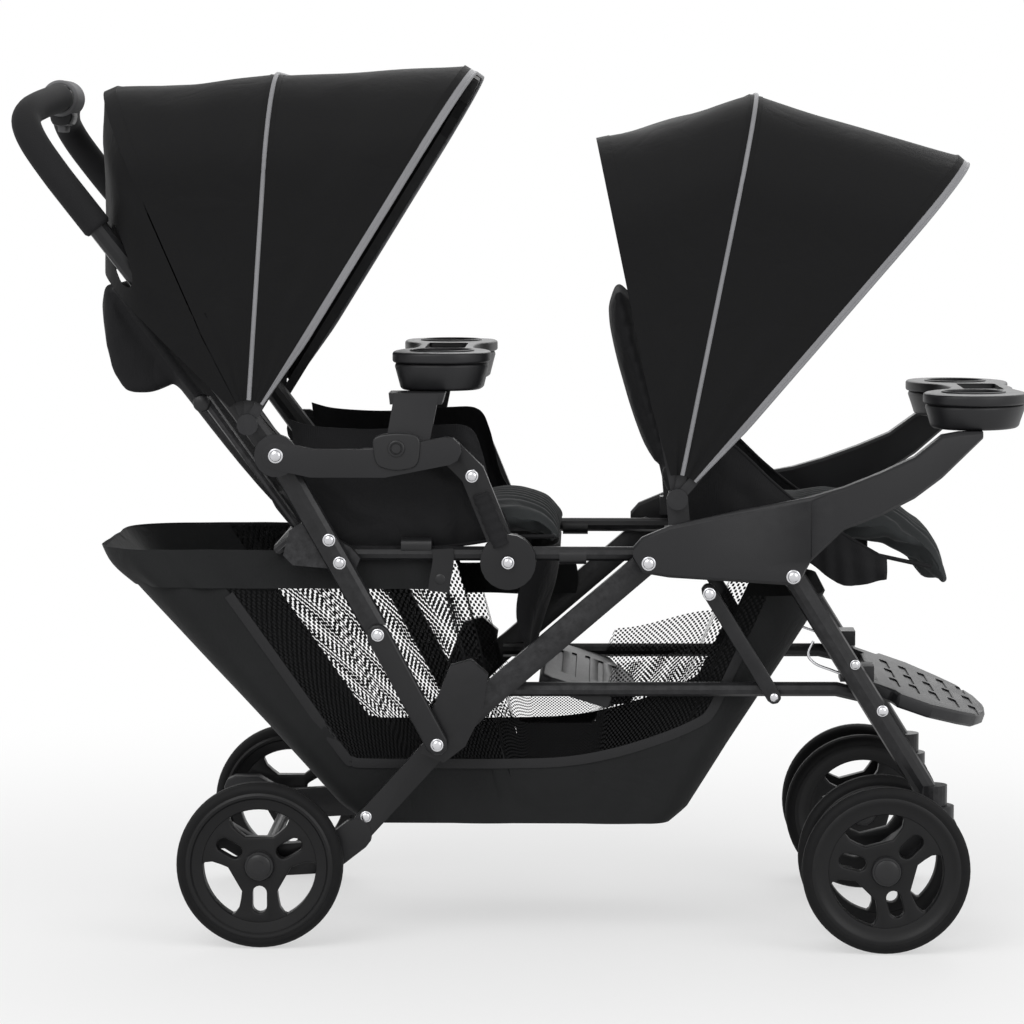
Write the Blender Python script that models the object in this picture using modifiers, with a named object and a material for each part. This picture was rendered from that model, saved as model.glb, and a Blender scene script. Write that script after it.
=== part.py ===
# Tandem double stroller: folding frame, two seats, two canopies, six wheels.
# Metres, +Z up, +X to the front. The origin is on the floor, under the middle.
import math

import bmesh
import bpy
from mathutils import Matrix, Vector

# Driving dimensions
CENTRE_X = 0.01693         # middle of the overall length, ahead of the datum of the stations
GAP = 0.0003               # running gap between neighbouring solids
WHEEL_RADIUS = 0.1016
REAR_WHEEL_WIDTH = 0.034
FRONT_WHEEL_WIDTH = 0.028
REAR_WHEEL_Y = 0.240       # middle of a rear wheel
FRONT_WHEEL_OFFSET = 0.0485  # middle of a front wheel from the middle of its caster
AXLE_RADIUS = 0.008
STUB_RADIUS = 0.0055
RIM_OPENING = 0.067
BORE_FACETS = 10           # sides of the hole in a wheel
RAIL_DIAMETER = 0.018
RAIL_Y = 0.190             # middle of the seat rails and low rails
BAR_THICKNESS = 0.016      # flat oval tubes, across
BAR_WIDTH = 0.030          # flat oval tubes, along
LEG_DIAMETER = 0.028
LINK_THICKNESS = 0.013
HANDLE_RADIUS = 0.0125
GRIP_RADIUS = 0.0172
SEAT_HALF_WIDTH = 0.165
BACK_TO_RAIL = 0.030       # side of a seat back to the middle of a rail
BACK_HALF_WIDTH = RAIL_Y - BACK_TO_RAIL
BACK_LENGTH_REAR = 0.385
BACK_LENGTH_FRONT = 0.265
PAD_HALF_THICKNESS = 0.014
BASKET_WALL = 0.003
BASKET_HALF_WIDTH = RAIL_Y - RAIL_DIAMETER / 2 - GAP - BASKET_WALL
FABRIC = 0.0022
BOW_THICKNESS = 0.0038
BOW_WIDTH = 0.012
CANOPY_SHOULDER = 0.12
CLOTH_LEAD = 0.0020        # middle of the cloth outside the bow it lies on
CLOTH_START = 0.034        # lowest end of the cloth above a canopy pivot
CLOTH_SAG = 0.010          # how far the cloth draws in between two bows
SEAM = 0.0008              # half the gap between the two sheets of a canopy
CUP_RADIUS = 0.036
CUP_DEPTH = 0.026
BUTTON_TRAVEL = 0.006
HOUSING_HALF = 0.034       # half length of the fold housing
HOUSING_RADIUS = 0.0225
SHELF_INNER = 0.175        # inner end of the shelves under the rear tray
REAR_TRAY_HALF = 0.2145
RECLINE_RADIUS = 0.0068
RECLINE_REACH = 0.200      # length of the recline frame above its pivots
RECLINE_TAIL = 0.036       # its cross bar behind the pivots
CROSS_TUBE_RADIUS = 0.007

# Layers from the middle outwards
RAIL_OUT = RAIL_Y + RAIL_DIAMETER / 2
LEG_IN = RAIL_OUT + GAP
LEG_OUT = LEG_IN + BAR_THICKNESS
UPRIGHT_IN = LEG_OUT + GAP
UPRIGHT_OUT = UPRIGHT_IN + BAR_THICKNESS
LINK_IN = UPRIGHT_OUT + GAP
LINK_OUT = LINK_IN + LINK_THICKNESS
FRONT_LEG_Y = LEG_IN + LEG_DIAMETER / 2
COVER_IN = FRONT_LEG_Y + LEG_DIAMETER / 2 + GAP
COVER_OUT = COVER_IN + 0.019
BOW_STEP = BOW_THICKNESS + GAP
BRACKET_IN = RAIL_OUT - 0.002
RECLINE_IN = BRACKET_IN - GAP - 2 * RECLINE_RADIUS


def at(x, z):
    """A side-view point given from the station datum, moved to the model's origin."""
    return (x - CENTRE_X, z)


# Pivots, side view
WHEELS_REAR = at(-0.302, WHEEL_RADIUS)
WHEELS_FRONT = at(0.458, WHEEL_RADIUS)
SWIVEL = at(0.5165, 0.1775)
ARMREST_PIVOT = at(-0.2799, 0.6011)
ARMREST_FRONT = at(-0.0729, 0.6073)
STRUT_PIVOT = at(0.0001, 0.4708)
STRUT_ELBOW = at(-0.043, 0.577)
KNEE = at(-0.1572, 0.3838)
HUB_PIVOT = at(-0.0856, 0.2497)
REAR_LEG_PIVOT = at(0.1703, 0.4717)
FRONT_LEG_PIVOT = at(0.3447, 0.4561)
LOW_RAIL_REAR = at(-0.0166, 0.311)
LOW_RAIL_FRONT = at(0.455, 0.2885)
BRACE_TOP = at(0.2436, 0.4351)
BRACE_FOOT = at(0.324, 0.3043)
REAR_BACK_PIVOT = at(-0.2524, 0.5038)
REAR_CANOPY_PIVOT = at(-0.3136, 0.6387)
FRONT_CANOPY_PIVOT = at(0.205, 0.548)
SEAT_RAIL_Z = 0.478
CROSS_TUBES = {"right": at(-0.222, 0.4765), "left": at(0.30, 0.4842)}
CASTER_TOP = 0.1735
BASKET_FLOOR_Z = 0.137

# The pouch behind the rear seat back: share of the back's length, and offset behind it
POUCH = (
    (0.6250, 0.0073), (0.6486, 0.0445), (0.6920, 0.0678), (0.7732, 0.0650),
    (0.8595, 0.0507), (0.9869, 0.0243), (1.0317, 0.0123), (0.9921, 0.0007),
)
POUCH_INSET = 0.0225
REAR_BACK_LEAN = 127.6

# Canopy bows: angle above +X in degrees, and reach from the pivot
REAR_BOWS = ((113.4, 0.438), (86.0, 0.4195), (58.2, 0.5013))
REAR_SKIRT = ((135.3, 0.2555), (126.1, 0.306), (118.0, 0.3896))
FRONT_BOWS = ((101.8, 0.4432), (78.8, 0.4934), (49.4, 0.5359))

SIDES = (("right", -1), ("left", 1))


def collection(name):
    """A new collection linked to the scene."""
    made = bpy.data.collections.new(name)
    bpy.context.scene.collection.children.link(made)
    return made


def material(name, colour, roughness, metallic=0.0):
    """A Principled material for one finish."""
    made = bpy.data.materials.new(name)
    made.use_nodes = True
    shader = made.node_tree.nodes["Principled BSDF"]
    shader.inputs["Base Color"].default_value = (*colour, 1.0)
    shader.inputs["Roughness"].default_value = roughness
    shader.inputs["Metallic"].default_value = metallic
    return made


def look(name, kind):
    """The piece's own material, in one of the stroller's finishes."""
    colour, roughness, metallic = FINISHES[kind]
    return material(name + "_" + kind, colour, roughness, metallic)


FINISHES = {
    "steel": ((0.022, 0.022, 0.025), 0.4, 0.5),
    "plastic": ((0.018, 0.018, 0.021), 0.5, 0.0),
    "grey_plastic": ((0.12, 0.12, 0.125), 0.45, 0.0),
    "foam": ((0.015, 0.015, 0.016), 0.9, 0.0),
    "canopy_cloth": ((0.008, 0.008, 0.009), 0.85, 0.0),
    "seat_cloth": ((0.045, 0.05, 0.05), 0.9, 0.0),
    "mesh_cloth": ((0.012, 0.012, 0.013), 0.9, 0.0),
    "tyre": ((0.012, 0.012, 0.013), 0.7, 0.0),
}


def drop(obj):
    """Removes a helper object."""
    bpy.data.objects.remove(obj, do_unlink=True)


def keep(name, mesh, kind):
    """Puts a finished mesh into the parts collection under its name."""
    obj = bpy.data.objects.new(name, mesh)
    PARTS.objects.link(obj)
    mesh.materials.clear()
    mesh.materials.append(look(name, kind))
    mesh.shade_smooth()
    mesh.set_sharp_from_angle(angle=math.radians(35))
    return obj


def settled(obj):
    """The evaluated mesh of an object, welded and in place."""
    bpy.context.view_layer.update()
    source = obj.evaluated_get(bpy.context.evaluated_depsgraph_get())
    mesh = bpy.data.meshes.new_from_object(source)
    mesh.transform(obj.matrix_world)
    bm = bmesh.new()
    bm.from_mesh(mesh)
    bmesh.ops.remove_doubles(bm, verts=bm.verts, dist=0.00002)
    face_out(bm)
    bm.to_mesh(mesh)
    bm.free()
    return mesh


def face_out(bm):
    """Makes the faces of a closed bmesh agree and point out."""
    bmesh.ops.recalc_face_normals(bm, faces=bm.faces)
    if bm.calc_volume(signed=True) < 0:
        bmesh.ops.reverse_faces(bm, faces=bm.faces)


def from_bmesh(name, bm, kind):
    """Ends a bmesh as a named part with its faces pointing out."""
    face_out(bm)
    mesh = bpy.data.meshes.new(name)
    bm.to_mesh(mesh)
    bm.free()
    return keep(name, mesh, kind)


def combine(obj, other, operation):
    """Joins another solid to a part, or cuts it away, and drops the other."""
    change = obj.modifiers.new(operation.lower(), "BOOLEAN")
    change.operation = operation
    change.object = other
    mesh = settled(obj)
    obj.modifiers.clear()
    obj.data = mesh
    obj.matrix_world = Matrix.Identity(4)
    drop(other)
    return obj


def arc(centre, radius, start, end, steps):
    """Points on an arc, angles in degrees, both ends included."""
    points = []
    for step in range(steps + 1):
        angle = math.radians(start + (end - start) * step / steps)
        points.append((centre[0] + radius * math.cos(angle), centre[1] + radius * math.sin(angle)))
    return points


def ribbon(points, width, steps=4):
    """The outline of a bar of one width that follows the points, with round ends."""
    path = [Vector(point) for point in points]
    half = width / 2
    right, left = [], []
    for index, point in enumerate(path):
        before = (point - path[index - 1]).normalized() if index else None
        after = (path[index + 1] - point).normalized() if index < len(path) - 1 else None
        along = ((before or after) + (after or before)).normalized()
        normal = Vector((-along.y, along.x))
        spread = half / max(0.6, along.dot(after or before))
        left.append(point + normal * spread)
        right.append(point - normal * spread)
    first = math.degrees(math.atan2(*reversed(path[1] - path[0])))
    last = math.degrees(math.atan2(*reversed(path[-1] - path[-2])))
    outline = right[1:-1]
    outline += [Vector(p) for p in arc(path[-1], half, last - 90, last + 90, steps)]
    outline += list(reversed(left[1:-1]))
    outline += [Vector(p) for p in arc(path[0], half, first + 90, first + 270, steps)]
    return [tuple(point) for point in outline]


def slab(name, outlines, low, high, kind, edge=0.0, lying=False):
    """A flat piece from closed outlines: standing along Y, or lying along Z."""
    curve = bpy.data.curves.new(name, "CURVE")
    curve.dimensions = "2D"
    curve.fill_mode = "BOTH"
    curve.extrude = (high - low) / 2
    for outline in outlines:
        spline = curve.splines.new("POLY")
        spline.points.add(len(outline) - 1)
        for point, (across, up) in zip(spline.points, outline):
            point.co = (across, up, 0.0, 1.0)
        spline.use_cyclic_u = True
    flat = bpy.data.objects.new(name + "_outline", curve)
    PARTS.objects.link(flat)
    if lying:
        flat.location = (0.0, 0.0, (low + high) / 2)
    else:
        flat.rotation_euler = (math.pi / 2, 0.0, 0.0)
        flat.location = (0.0, (low + high) / 2, 0.0)
    mesh = settled(flat)
    drop(flat)
    obj = keep(name, mesh, kind)
    if edge:
        rounding = obj.modifiers.new("edge", "BEVEL")
        rounding.width = edge
        rounding.segments = 1
        rounding.limit_method = "ANGLE"
        rounding.angle_limit = math.radians(50)
    return obj


def side_slab(name, outlines, inner, outer, sign, kind, edge=0.0):
    """A standing flat piece on one side of the stroller, between two layers."""
    low, high = sorted((sign * inner, sign * outer))
    return slab(name, outlines, low, high, kind, edge)


def rod(name, points, radius, kind, roundness=4):
    """A round tube along points, with filled ends."""
    curve = bpy.data.curves.new(name, "CURVE")
    curve.dimensions = "3D"
    curve.bevel_depth = radius
    curve.bevel_resolution = roundness
    curve.use_fill_caps = True
    spline = curve.splines.new("POLY")
    spline.points.add(len(points) - 1)
    for target, point in zip(spline.points, points):
        target.co = (*point, 1.0)
    line = bpy.data.objects.new(name + "_line", curve)
    PARTS.objects.link(line)
    mesh = settled(line)
    drop(line)
    return keep(name, mesh, kind)


def drum(name, centre, radius, low, high, kind, steps=20):
    """A cylinder along Y, standing at a side-view centre."""
    bm = bmesh.new()
    bmesh.ops.create_cone(
        bm, cap_ends=True, segments=steps, radius1=radius, radius2=radius, depth=abs(high - low)
    )
    turn = Matrix.Rotation(math.pi / 2, 4, "X")
    place = Matrix.Translation((centre[0], (low + high) / 2, centre[1]))
    bmesh.ops.transform(bm, matrix=place @ turn, verts=bm.verts)
    return from_bmesh(name, bm, kind)


def post(name, centre, radius, low, high, kind, steps=20):
    """A cylinder along Z at a plan centre."""
    bm = bmesh.new()
    bmesh.ops.create_cone(
        bm, cap_ends=True, segments=steps, radius1=radius, radius2=radius, depth=high - low
    )
    bmesh.ops.translate(bm, vec=(centre[0], centre[1], (low + high) / 2), verts=bm.verts)
    return from_bmesh(name, bm, kind)


def block(name, low, high, kind):
    """A box between two corners."""
    bm = bmesh.new()
    bmesh.ops.create_cube(bm, size=1.0)
    size = [b - a for a, b in zip(low, high)]
    middle = [(a + b) / 2 for a, b in zip(low, high)]
    bmesh.ops.scale(bm, vec=size, verts=bm.verts)
    bmesh.ops.translate(bm, vec=middle, verts=bm.verts)
    return from_bmesh(name, bm, kind)


def loft(name, rings, kind, closed_ends=True):
    """A skin over rings of equal point counts, capped at both ends."""
    bm = bmesh.new()
    made = [[bm.verts.new(point) for point in ring] for ring in rings]
    count = len(rings[0])
    for ring, following in zip(made, made[1:]):
        for index in range(count):
            after = (index + 1) % count
            bm.faces.new((ring[index], ring[after], following[after], following[index]))
    if closed_ends:
        bm.faces.new(made[0])
        bm.faces.new(made[-1])
    return from_bmesh(name, bm, kind)


def oval(centre, first, second, steps):
    """A ring of points round a centre, given its two half axes as vectors."""
    ring = []
    for step in range(steps):
        angle = 2 * math.pi * step / steps
        ring.append(centre + first * math.cos(angle) + second * math.sin(angle))
    return ring


def rounded_rectangle(half_x, half_y, corner, steps=3):
    """A plan outline with round corners, counter-clockwise from the front left."""
    outline = []
    for sign_x, sign_y, start in ((1, 1, 0), (-1, 1, 90), (-1, -1, 180), (1, -1, 270)):
        centre = (sign_x * (half_x - corner), sign_y * (half_y - corner))
        outline += arc(centre, corner, start, start + 90, steps)
    return outline


def cushion(name, spine, half_width, half_thickness, kind, channels=0, cells=(12, 10)):
    """A crowned pad along a side-view spine, drawn in at its sides, with sewn channels."""
    bm = bmesh.new()
    bmesh.ops.create_grid(bm, x_segments=cells[0], y_segments=cells[1], size=1.0)
    bmesh.ops.solidify(bm, geom=bm.faces[:], thickness=0.5)
    path = [Vector(point) for point in spine]
    lengths = [0.0]
    for first, second in zip(path, path[1:]):
        lengths.append(lengths[-1] + (second - first).length)
    levels = sorted({round(vert.co.z, 4) for vert in bm.verts})
    for vert in bm.verts:
        along, across = vert.co.x, vert.co.y
        face = 1.0 if round(vert.co.z, 4) == levels[-1] else -1.0
        distance = (along + 1) / 2 * lengths[-1]
        piece = max(0, min(len(path) - 2, sum(distance > mark for mark in lengths[1:])))
        share = (distance - lengths[piece]) / (lengths[piece + 1] - lengths[piece])
        point = path[piece].lerp(path[piece + 1], share)
        before = path[piece] - path[max(0, piece - 1)] if piece else path[1] - path[0]
        here = path[piece + 1] - path[piece]
        direction = before.normalized().lerp(here.normalized(), min(1.0, share + 0.5)).normalized()
        normal = Vector((-direction.y, direction.x))
        crown = (1 - abs(along) ** 4) * (1 - abs(across) ** 4)
        groove = abs(math.sin(math.pi * channels * (along + 1) / 2)) if channels else 1.0
        thick = half_thickness * (0.30 + 0.70 * crown * (0.72 + 0.28 * groove))
        drawn = half_width * (1 - 0.06 * (1 - abs(along)) * 0.6 - 0.03 * along * along)
        place = point + normal * face * thick
        vert.co = (place.x, across * drawn, place.y)
    return from_bmesh(name, bm, kind)


def turned_outline(profile, steps):
    """A ring turned about Y from a closed profile of (radius, offset) points."""
    mesh = bpy.data.meshes.new("profile")
    count = len(profile)
    edges = [(index, (index + 1) % count) for index in range(count)]
    mesh.from_pydata([(radius, 0.0, offset) for radius, offset in profile], edges, [])
    obj = bpy.data.objects.new("profile", mesh)
    PARTS.objects.link(obj)
    turn = obj.modifiers.new("turn", "SCREW")
    turn.steps = steps
    turn.render_steps = steps
    turn.merge_threshold = 0.00005
    turn.use_merge_vertices = True
    obj.rotation_euler = (math.pi / 2, 0.0, 0.0)
    made = settled(obj)
    drop(obj)
    return made


def wheel(name, width, axle):
    """A tyre and three-spoke rim about the origin, with a bore for the axle."""
    half = width / 2
    rim = 0.8 * half
    profile = (
        (0.093, half),
        (WHEEL_RADIUS, 0.45 * half),
        (WHEEL_RADIUS, -0.45 * half),
        (0.093, -half),
        (RIM_OPENING, -rim),
        (RIM_OPENING, rim),
    )
    tyre = keep(name, turned_outline(profile, 24), "tyre")
    outline = [arc((0, 0), RIM_OPENING + 0.005, 0, 360 - 24, 14)]
    facet = 360 / BORE_FACETS
    bore = (axle + GAP) / math.cos(math.radians(facet / 2))
    outline.append(arc((0, 0), bore, 0, 360 - facet, BORE_FACETS - 1))
    for spoke in range(3):
        middle = 90 + 120 * spoke
        outline.append(spoke_slot(middle))
        outline.append(spoke_gap(middle + 60))
    spider = slab(name + "_spider", outline, -0.5 * half, 0.5 * half, "plastic")
    return combine(tyre, spider, "UNION")


def spoke_slot(angle):
    """The round-ended slot in one spoke."""
    reach = [Vector((radius, 0.0)) for radius in (0.034, 0.048)]
    turn = Matrix.Rotation(math.radians(angle), 2)
    return ribbon([tuple(turn @ point) for point in reach], 0.019, 2)


def spoke_gap(angle):
    """The rounded three-cornered gap between two spokes."""
    tip = [(0.037, 0.0)]
    outer = arc((0.0, 0.0), RIM_OPENING - 0.003, -31, 31, 3)
    turn = Matrix.Rotation(math.radians(angle), 2)
    return [tuple(turn @ Vector(point)) for point in tip + outer]


def wheel_copies():
    """The two rear wheels and the four front wheels, from two meshes."""
    rear = wheel("rear_wheel", REAR_WHEEL_WIDTH, AXLE_RADIUS)
    front = wheel("front_wheel", FRONT_WHEEL_WIDTH, STUB_RADIUS)
    for side, sign in SIDES:
        placed(rear, "rear_wheel_" + side, WHEELS_REAR, sign * REAR_WHEEL_Y)
        for part, step in (("inner", -1), ("outer", 1)):
            middle = sign * (FRONT_LEG_Y + step * FRONT_WHEEL_OFFSET)
            placed(front, "front_wheel_" + side + "_" + part, WHEELS_FRONT, middle)
    drop(rear)
    drop(front)


def placed(source, name, centre, across):
    """A copy of a wheel with its origin on its axle."""
    obj = bpy.data.objects.new(name, source.data.copy())
    PARTS.objects.link(obj)
    obj.location = (centre[0], across, centre[1])
    obj.data.materials.clear()
    obj.data.materials.append(look(name, "tyre"))
    return obj


def handle_path():
    """Centre points of the push handle on the right, from the knee to the middle."""
    knee = Vector((KNEE[0], -(UPRIGHT_IN + UPRIGHT_OUT) / 2, KNEE[1]))
    bend = Vector((ARMREST_PIVOT[0], knee.y, ARMREST_PIVOT[1]))
    stations = (
        (-0.495, 0.215, 0.874),
        (-0.548, 0.209, 0.941),
        (-0.574, 0.200, 0.977),
        (-0.586, 0.184, 1.001),
        (-0.585, 0.158, 1.015),
        (-0.578, 0.115, 1.024),
        (-0.566, 0.046, 1.0335),
        (-0.566, 0.000, 1.0335),
    )
    upper = [Vector((at(x, z)[0], -across, z)) for x, across, z in stations]
    end = knee + (knee - bend).normalized() * -0.006
    flat_end = bend + (upper[0] - bend) * 0.20
    flat_end.y = knee.y
    return [end, bend + (knee - bend) * 0.06, flat_end] + upper


def handle():
    """The bent push handle with both uprights, its grips, and the fold housing."""
    right = handle_path()
    left = [Vector((point.x, -point.y, point.z)) for point in reversed(right[:-1])]
    path = right + left
    wide = [BAR_WIDTH / 2] * 2 + [0.014] + [HANDLE_RADIUS] * (len(right) - 3)
    thin = [BAR_THICKNESS / 2] * 3 + [HANDLE_RADIUS] + [HANDLE_RADIUS] * (len(right) - 4)
    wide += list(reversed(wide[:-1]))
    thin += list(reversed(thin[:-1]))
    rings = [twist_free(path, index, wide[index], thin[index]) for index in range(len(path))]
    loft("push_handle", rings, "steel")
    for side, sign in SIDES:
        grip(side, sign, right)
    fold_housing(right[-1])


def twist_free(path, index, wide, thin, steps=12):
    """One ring of the handle, its long axis square to the run and to the side."""
    before = path[max(0, index - 1)]
    after = path[min(len(path) - 1, index + 1)]
    along = (after - before).normalized()
    if index < 3 or index > len(path) - 4:
        side = Vector((0.0, 1.0, 0.0))
        first = along.cross(side).normalized()
        if first.dot(Vector((1.0, 0.0, 0.0))) < 0:
            first = -first
    else:
        first = start_side(along)
    second = along.cross(first).normalized()
    return oval(path[index], first * wide, second * thin, steps)


def start_side(along):
    """A direction square to the run that stays on the handle's front side."""
    forward = Vector((0.82, 0.0, 0.57))
    return (forward - along * along.dot(forward)).normalized()


def grip(side, sign, right):
    """A foam sleeve over one arm and half of the crossbar."""
    path = [Vector((point.x, point.y * -sign, point.z)) for point in right[3:]]
    middle = path[-1]
    near = path[-2]
    path[-1] = middle + (near - middle) * (HOUSING_HALF + 0.0055) / abs(near.y)
    outer, inner = [], []
    for index, point in enumerate(path):
        before = path[max(0, index - 1)]
        after = path[min(len(path) - 1, index + 1)]
        along = (after - before).normalized()
        first = start_side(along)
        second = along.cross(first).normalized()
        ends = 0.0015 if index in (0, len(path) - 1) else 0.0
        radius = GRIP_RADIUS - ends
        outer.append(oval(point, first * radius, second * radius, 12))
        bore = HANDLE_RADIUS + 0.0008
        inner.append(oval(point, first * bore, second * bore, 12))
    rings = outer + list(reversed(inner))
    obj = loft("grip_" + side, rings + [rings[0]], "foam", closed_ends=False)
    bm = bmesh.new()
    bm.from_mesh(obj.data)
    bmesh.ops.remove_doubles(bm, verts=bm.verts, dist=0.00001)
    face_out(bm)
    bm.to_mesh(obj.data)
    bm.free()
    return obj


def fold_housing(middle):
    """The round housing at the middle of the handle, with its squeeze bar."""
    centre = (middle.x, middle.z)
    housing = drum("fold_housing", centre, HOUSING_RADIUS, -HOUSING_HALF, HOUSING_HALF, "grey_plastic")
    lower = Vector((centre[0], 0.0, centre[1] - HOUSING_RADIUS))
    skirt = block(
        "skirt",
        (lower.x - 0.010, -0.026, lower.z - 0.012),
        (lower.x + 0.010, 0.026, lower.z + 0.010),
        "plastic",
    )
    combine(housing, skirt, "UNION")
    snug = (HANDLE_RADIUS + GAP) / math.cos(math.pi / 24)
    bore = drum("bore", centre, snug, -0.05, 0.05, "plastic", 24)
    combine(housing, bore, "DIFFERENCE")
    slot_top = centre[1] - HANDLE_RADIUS - 0.0028
    slot = block(
        "slot",
        (lower.x - 0.0055, -0.0205, lower.z - 0.05),
        (lower.x + 0.0055, 0.0205, slot_top),
        "plastic",
    )
    combine(housing, slot, "DIFFERENCE")
    top = slot_top - BUTTON_TRAVEL - 0.0008
    block(
        "fold_button",
        (lower.x - 0.0055 + GAP, -0.0205 + GAP, top - 0.020),
        (lower.x + 0.0055 - GAP, 0.0205 - GAP, top),
        "grey_plastic",
    )


def armrests():
    """The two armrests that carry the rear tray."""
    bar = ribbon([ARMREST_PIVOT, at(-0.236, 0.592), at(-0.15, 0.592), ARMREST_FRONT], 0.034, 5)
    socket = arc(ARMREST_PIVOT, 0.026, 0, 340, 17)
    for side, sign in SIDES:
        name = "armrest_" + side
        arm = side_slab(name, [bar], LINK_IN, LINK_OUT, sign, "plastic")
        ring = side_slab("socket", [socket], LINK_IN + 0.001, LINK_OUT - 0.0006, sign, "plastic")
        combine(arm, ring, "UNION")
        inner = ribbon([at(-0.176, 0.593), at(-0.15, 0.593), ARMREST_FRONT], 0.032, 5)
        cheek = side_slab("cheek", [inner], UPRIGHT_IN, LINK_IN + 0.004, sign, "plastic")
        combine(arm, cheek, "UNION")
        foot = [at(-0.152, 0.590), at(-0.098, 0.600), at(-0.083, 0.6755), at(-0.137, 0.6755)]
        stem = side_slab("stem", [foot], UPRIGHT_IN + 0.0016, UPRIGHT_OUT - 0.0005, sign, "plastic")
        combine(arm, stem, "UNION")
        seat = [at(-0.1425, 0.6625), at(-0.080, 0.6625), at(-0.076, 0.6763), at(-0.144, 0.6763)]
        shelf = side_slab("shelf", [seat], SHELF_INNER, UPRIGHT_OUT - 0.0012, sign, "plastic")
        combine(arm, shelf, "UNION")


def tray(name, outline, low, high, cups, recess):
    """A lying tray with two open cup wells and a shallow recess."""
    body = slab(name, [outline], low, high, "plastic", 0.003, lying=True)
    for index, centre in enumerate(cups):
        well = post("well" + str(index), centre, CUP_RADIUS, high - CUP_DEPTH, high + 0.02, "plastic", 20)
        combine(body, well, "DIFFERENCE")
    dish = slab("dish", [recess], high - 0.006, high + 0.02, "plastic", lying=True)
    combine(body, dish, "DIFFERENCE")
    return body


def mirrored(half):
    """A closed plan outline from its left half, from front middle to rear middle."""
    return half + [(x, -y) for x, y in reversed(half)]


def trays():
    """The rear tray on the armrests and the front tray on the cover arms."""
    half = [
        (-0.048, 0.0), (-0.045, 0.06), (-0.030, 0.095), (-0.0225, 0.14), (-0.030, 0.185),
        (-0.055, 0.208), (-0.085, REAR_TRAY_HALF), (-0.118, 0.207), (-0.139, 0.185),
        (-0.143, 0.14), (-0.136, 0.095), (-0.122, 0.06), (-0.118, 0.0),
    ]
    outline = mirrored([(at(x, 0)[0], y) for x, y in half])
    hollow = mirrored([(at(x, 0)[0], y) for x, y in ((-0.058, 0.0), (-0.058, 0.07), (-0.108, 0.07))])
    cups = [(at(-0.083, 0)[0], sign * 0.142) for sign in (-1, 1)]
    tray("rear_tray", outline, 0.6766, 0.7232, cups, hollow)
    half = [
        (0.6307, 0.0), (0.6282, 0.04), (0.6342, 0.09), (0.6367, 0.13), (0.6267, 0.165),
        (0.6047, 0.192), (0.5747, 0.205), (0.5447, 0.203), (0.5207, 0.186), (0.5082, 0.15),
        (0.5107, 0.11), (0.5247, 0.075), (0.5447, 0.045), (0.5517, 0.0),
    ]
    outline = mirrored([(at(x, 0)[0], y) for x, y in half])
    hollow = mirrored([(at(x, 0)[0], y) for x, y in ((0.6147, 0.0), (0.6147, 0.065), (0.5657, 0.065))])
    cups = [(at(0.5702, 0)[0], sign * 0.125) for sign in (-1, 1)]
    tray("front_tray", outline, 0.6288, 0.672, cups, hollow)


def struts():
    """The arm struts between the armrests and the seat rails."""
    for side, sign in SIDES:
        bar = ribbon([STRUT_PIVOT, STRUT_ELBOW, ARMREST_FRONT], 0.030)
        strut = side_slab("arm_strut_" + side, [bar], LEG_IN, LEG_OUT, sign, "steel")
        disc = drum("disc", STRUT_PIVOT, 0.034, sign * (LEG_IN + 0.001), sign * (LEG_OUT + 0.011), "plastic")
        combine(strut, disc, "UNION")


def rails():
    """Seat rails, each with its bracket and a cross tube, the low rails and the braces."""
    for side, sign in SIDES:
        y = sign * RAIL_Y
        ends = [at(-0.262, SEAT_RAIL_Z), at(0.350, SEAT_RAIL_Z)]
        rail = rod("seat_rail_" + side, [(x, y, z) for x, z in ends], RAIL_DIAMETER / 2, "steel", 3)
        plate = [
            at(-0.274, 0.4775), at(-0.262, 0.4655), at(-0.186, 0.459), at(-0.180, 0.474),
            at(-0.192, 0.488), at(-0.240, 0.514), at(-0.253, 0.5165), at(-0.266, 0.508),
        ]
        bracket = side_slab("bracket", [plate], BRACKET_IN, LEG_OUT, sign, "plastic")
        combine(rail, bracket, "UNION")
        x, z = CROSS_TUBES[side]
        far = RAIL_Y - RAIL_DIAMETER / 2 - GAP
        cross = rod("cross_tube", [(x, y, z), (x, -sign * far, z)], CROSS_TUBE_RADIUS, "steel", 2)
        combine(rail, cross, "UNION")
        low = [LOW_RAIL_REAR, at(0.40, 0.3125), at(0.432, 0.305), LOW_RAIL_FRONT]
        rod("low_rail_" + side, [(x, y, z) for x, z in low], RAIL_DIAMETER / 2, "steel", 3)
        strip = ribbon([BRACE_TOP, BRACE_FOOT], 0.018)
        side_slab("brace_" + side, [strip], LEG_IN, LEG_IN + 0.008, sign, "steel")


def cover_section(x, low, high, inner, outer):
    """One upright section of a front cover, as a ring with cut corners."""
    cut = min(0.004, (high - low) / 3, (outer - inner) / 3)
    return [
        (inner, low + cut), (inner + cut, low), (outer - cut, low), (outer, low + cut),
        (outer, high - cut), (outer - cut, high), (inner + cut, high), (inner, high - cut),
    ]


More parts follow.
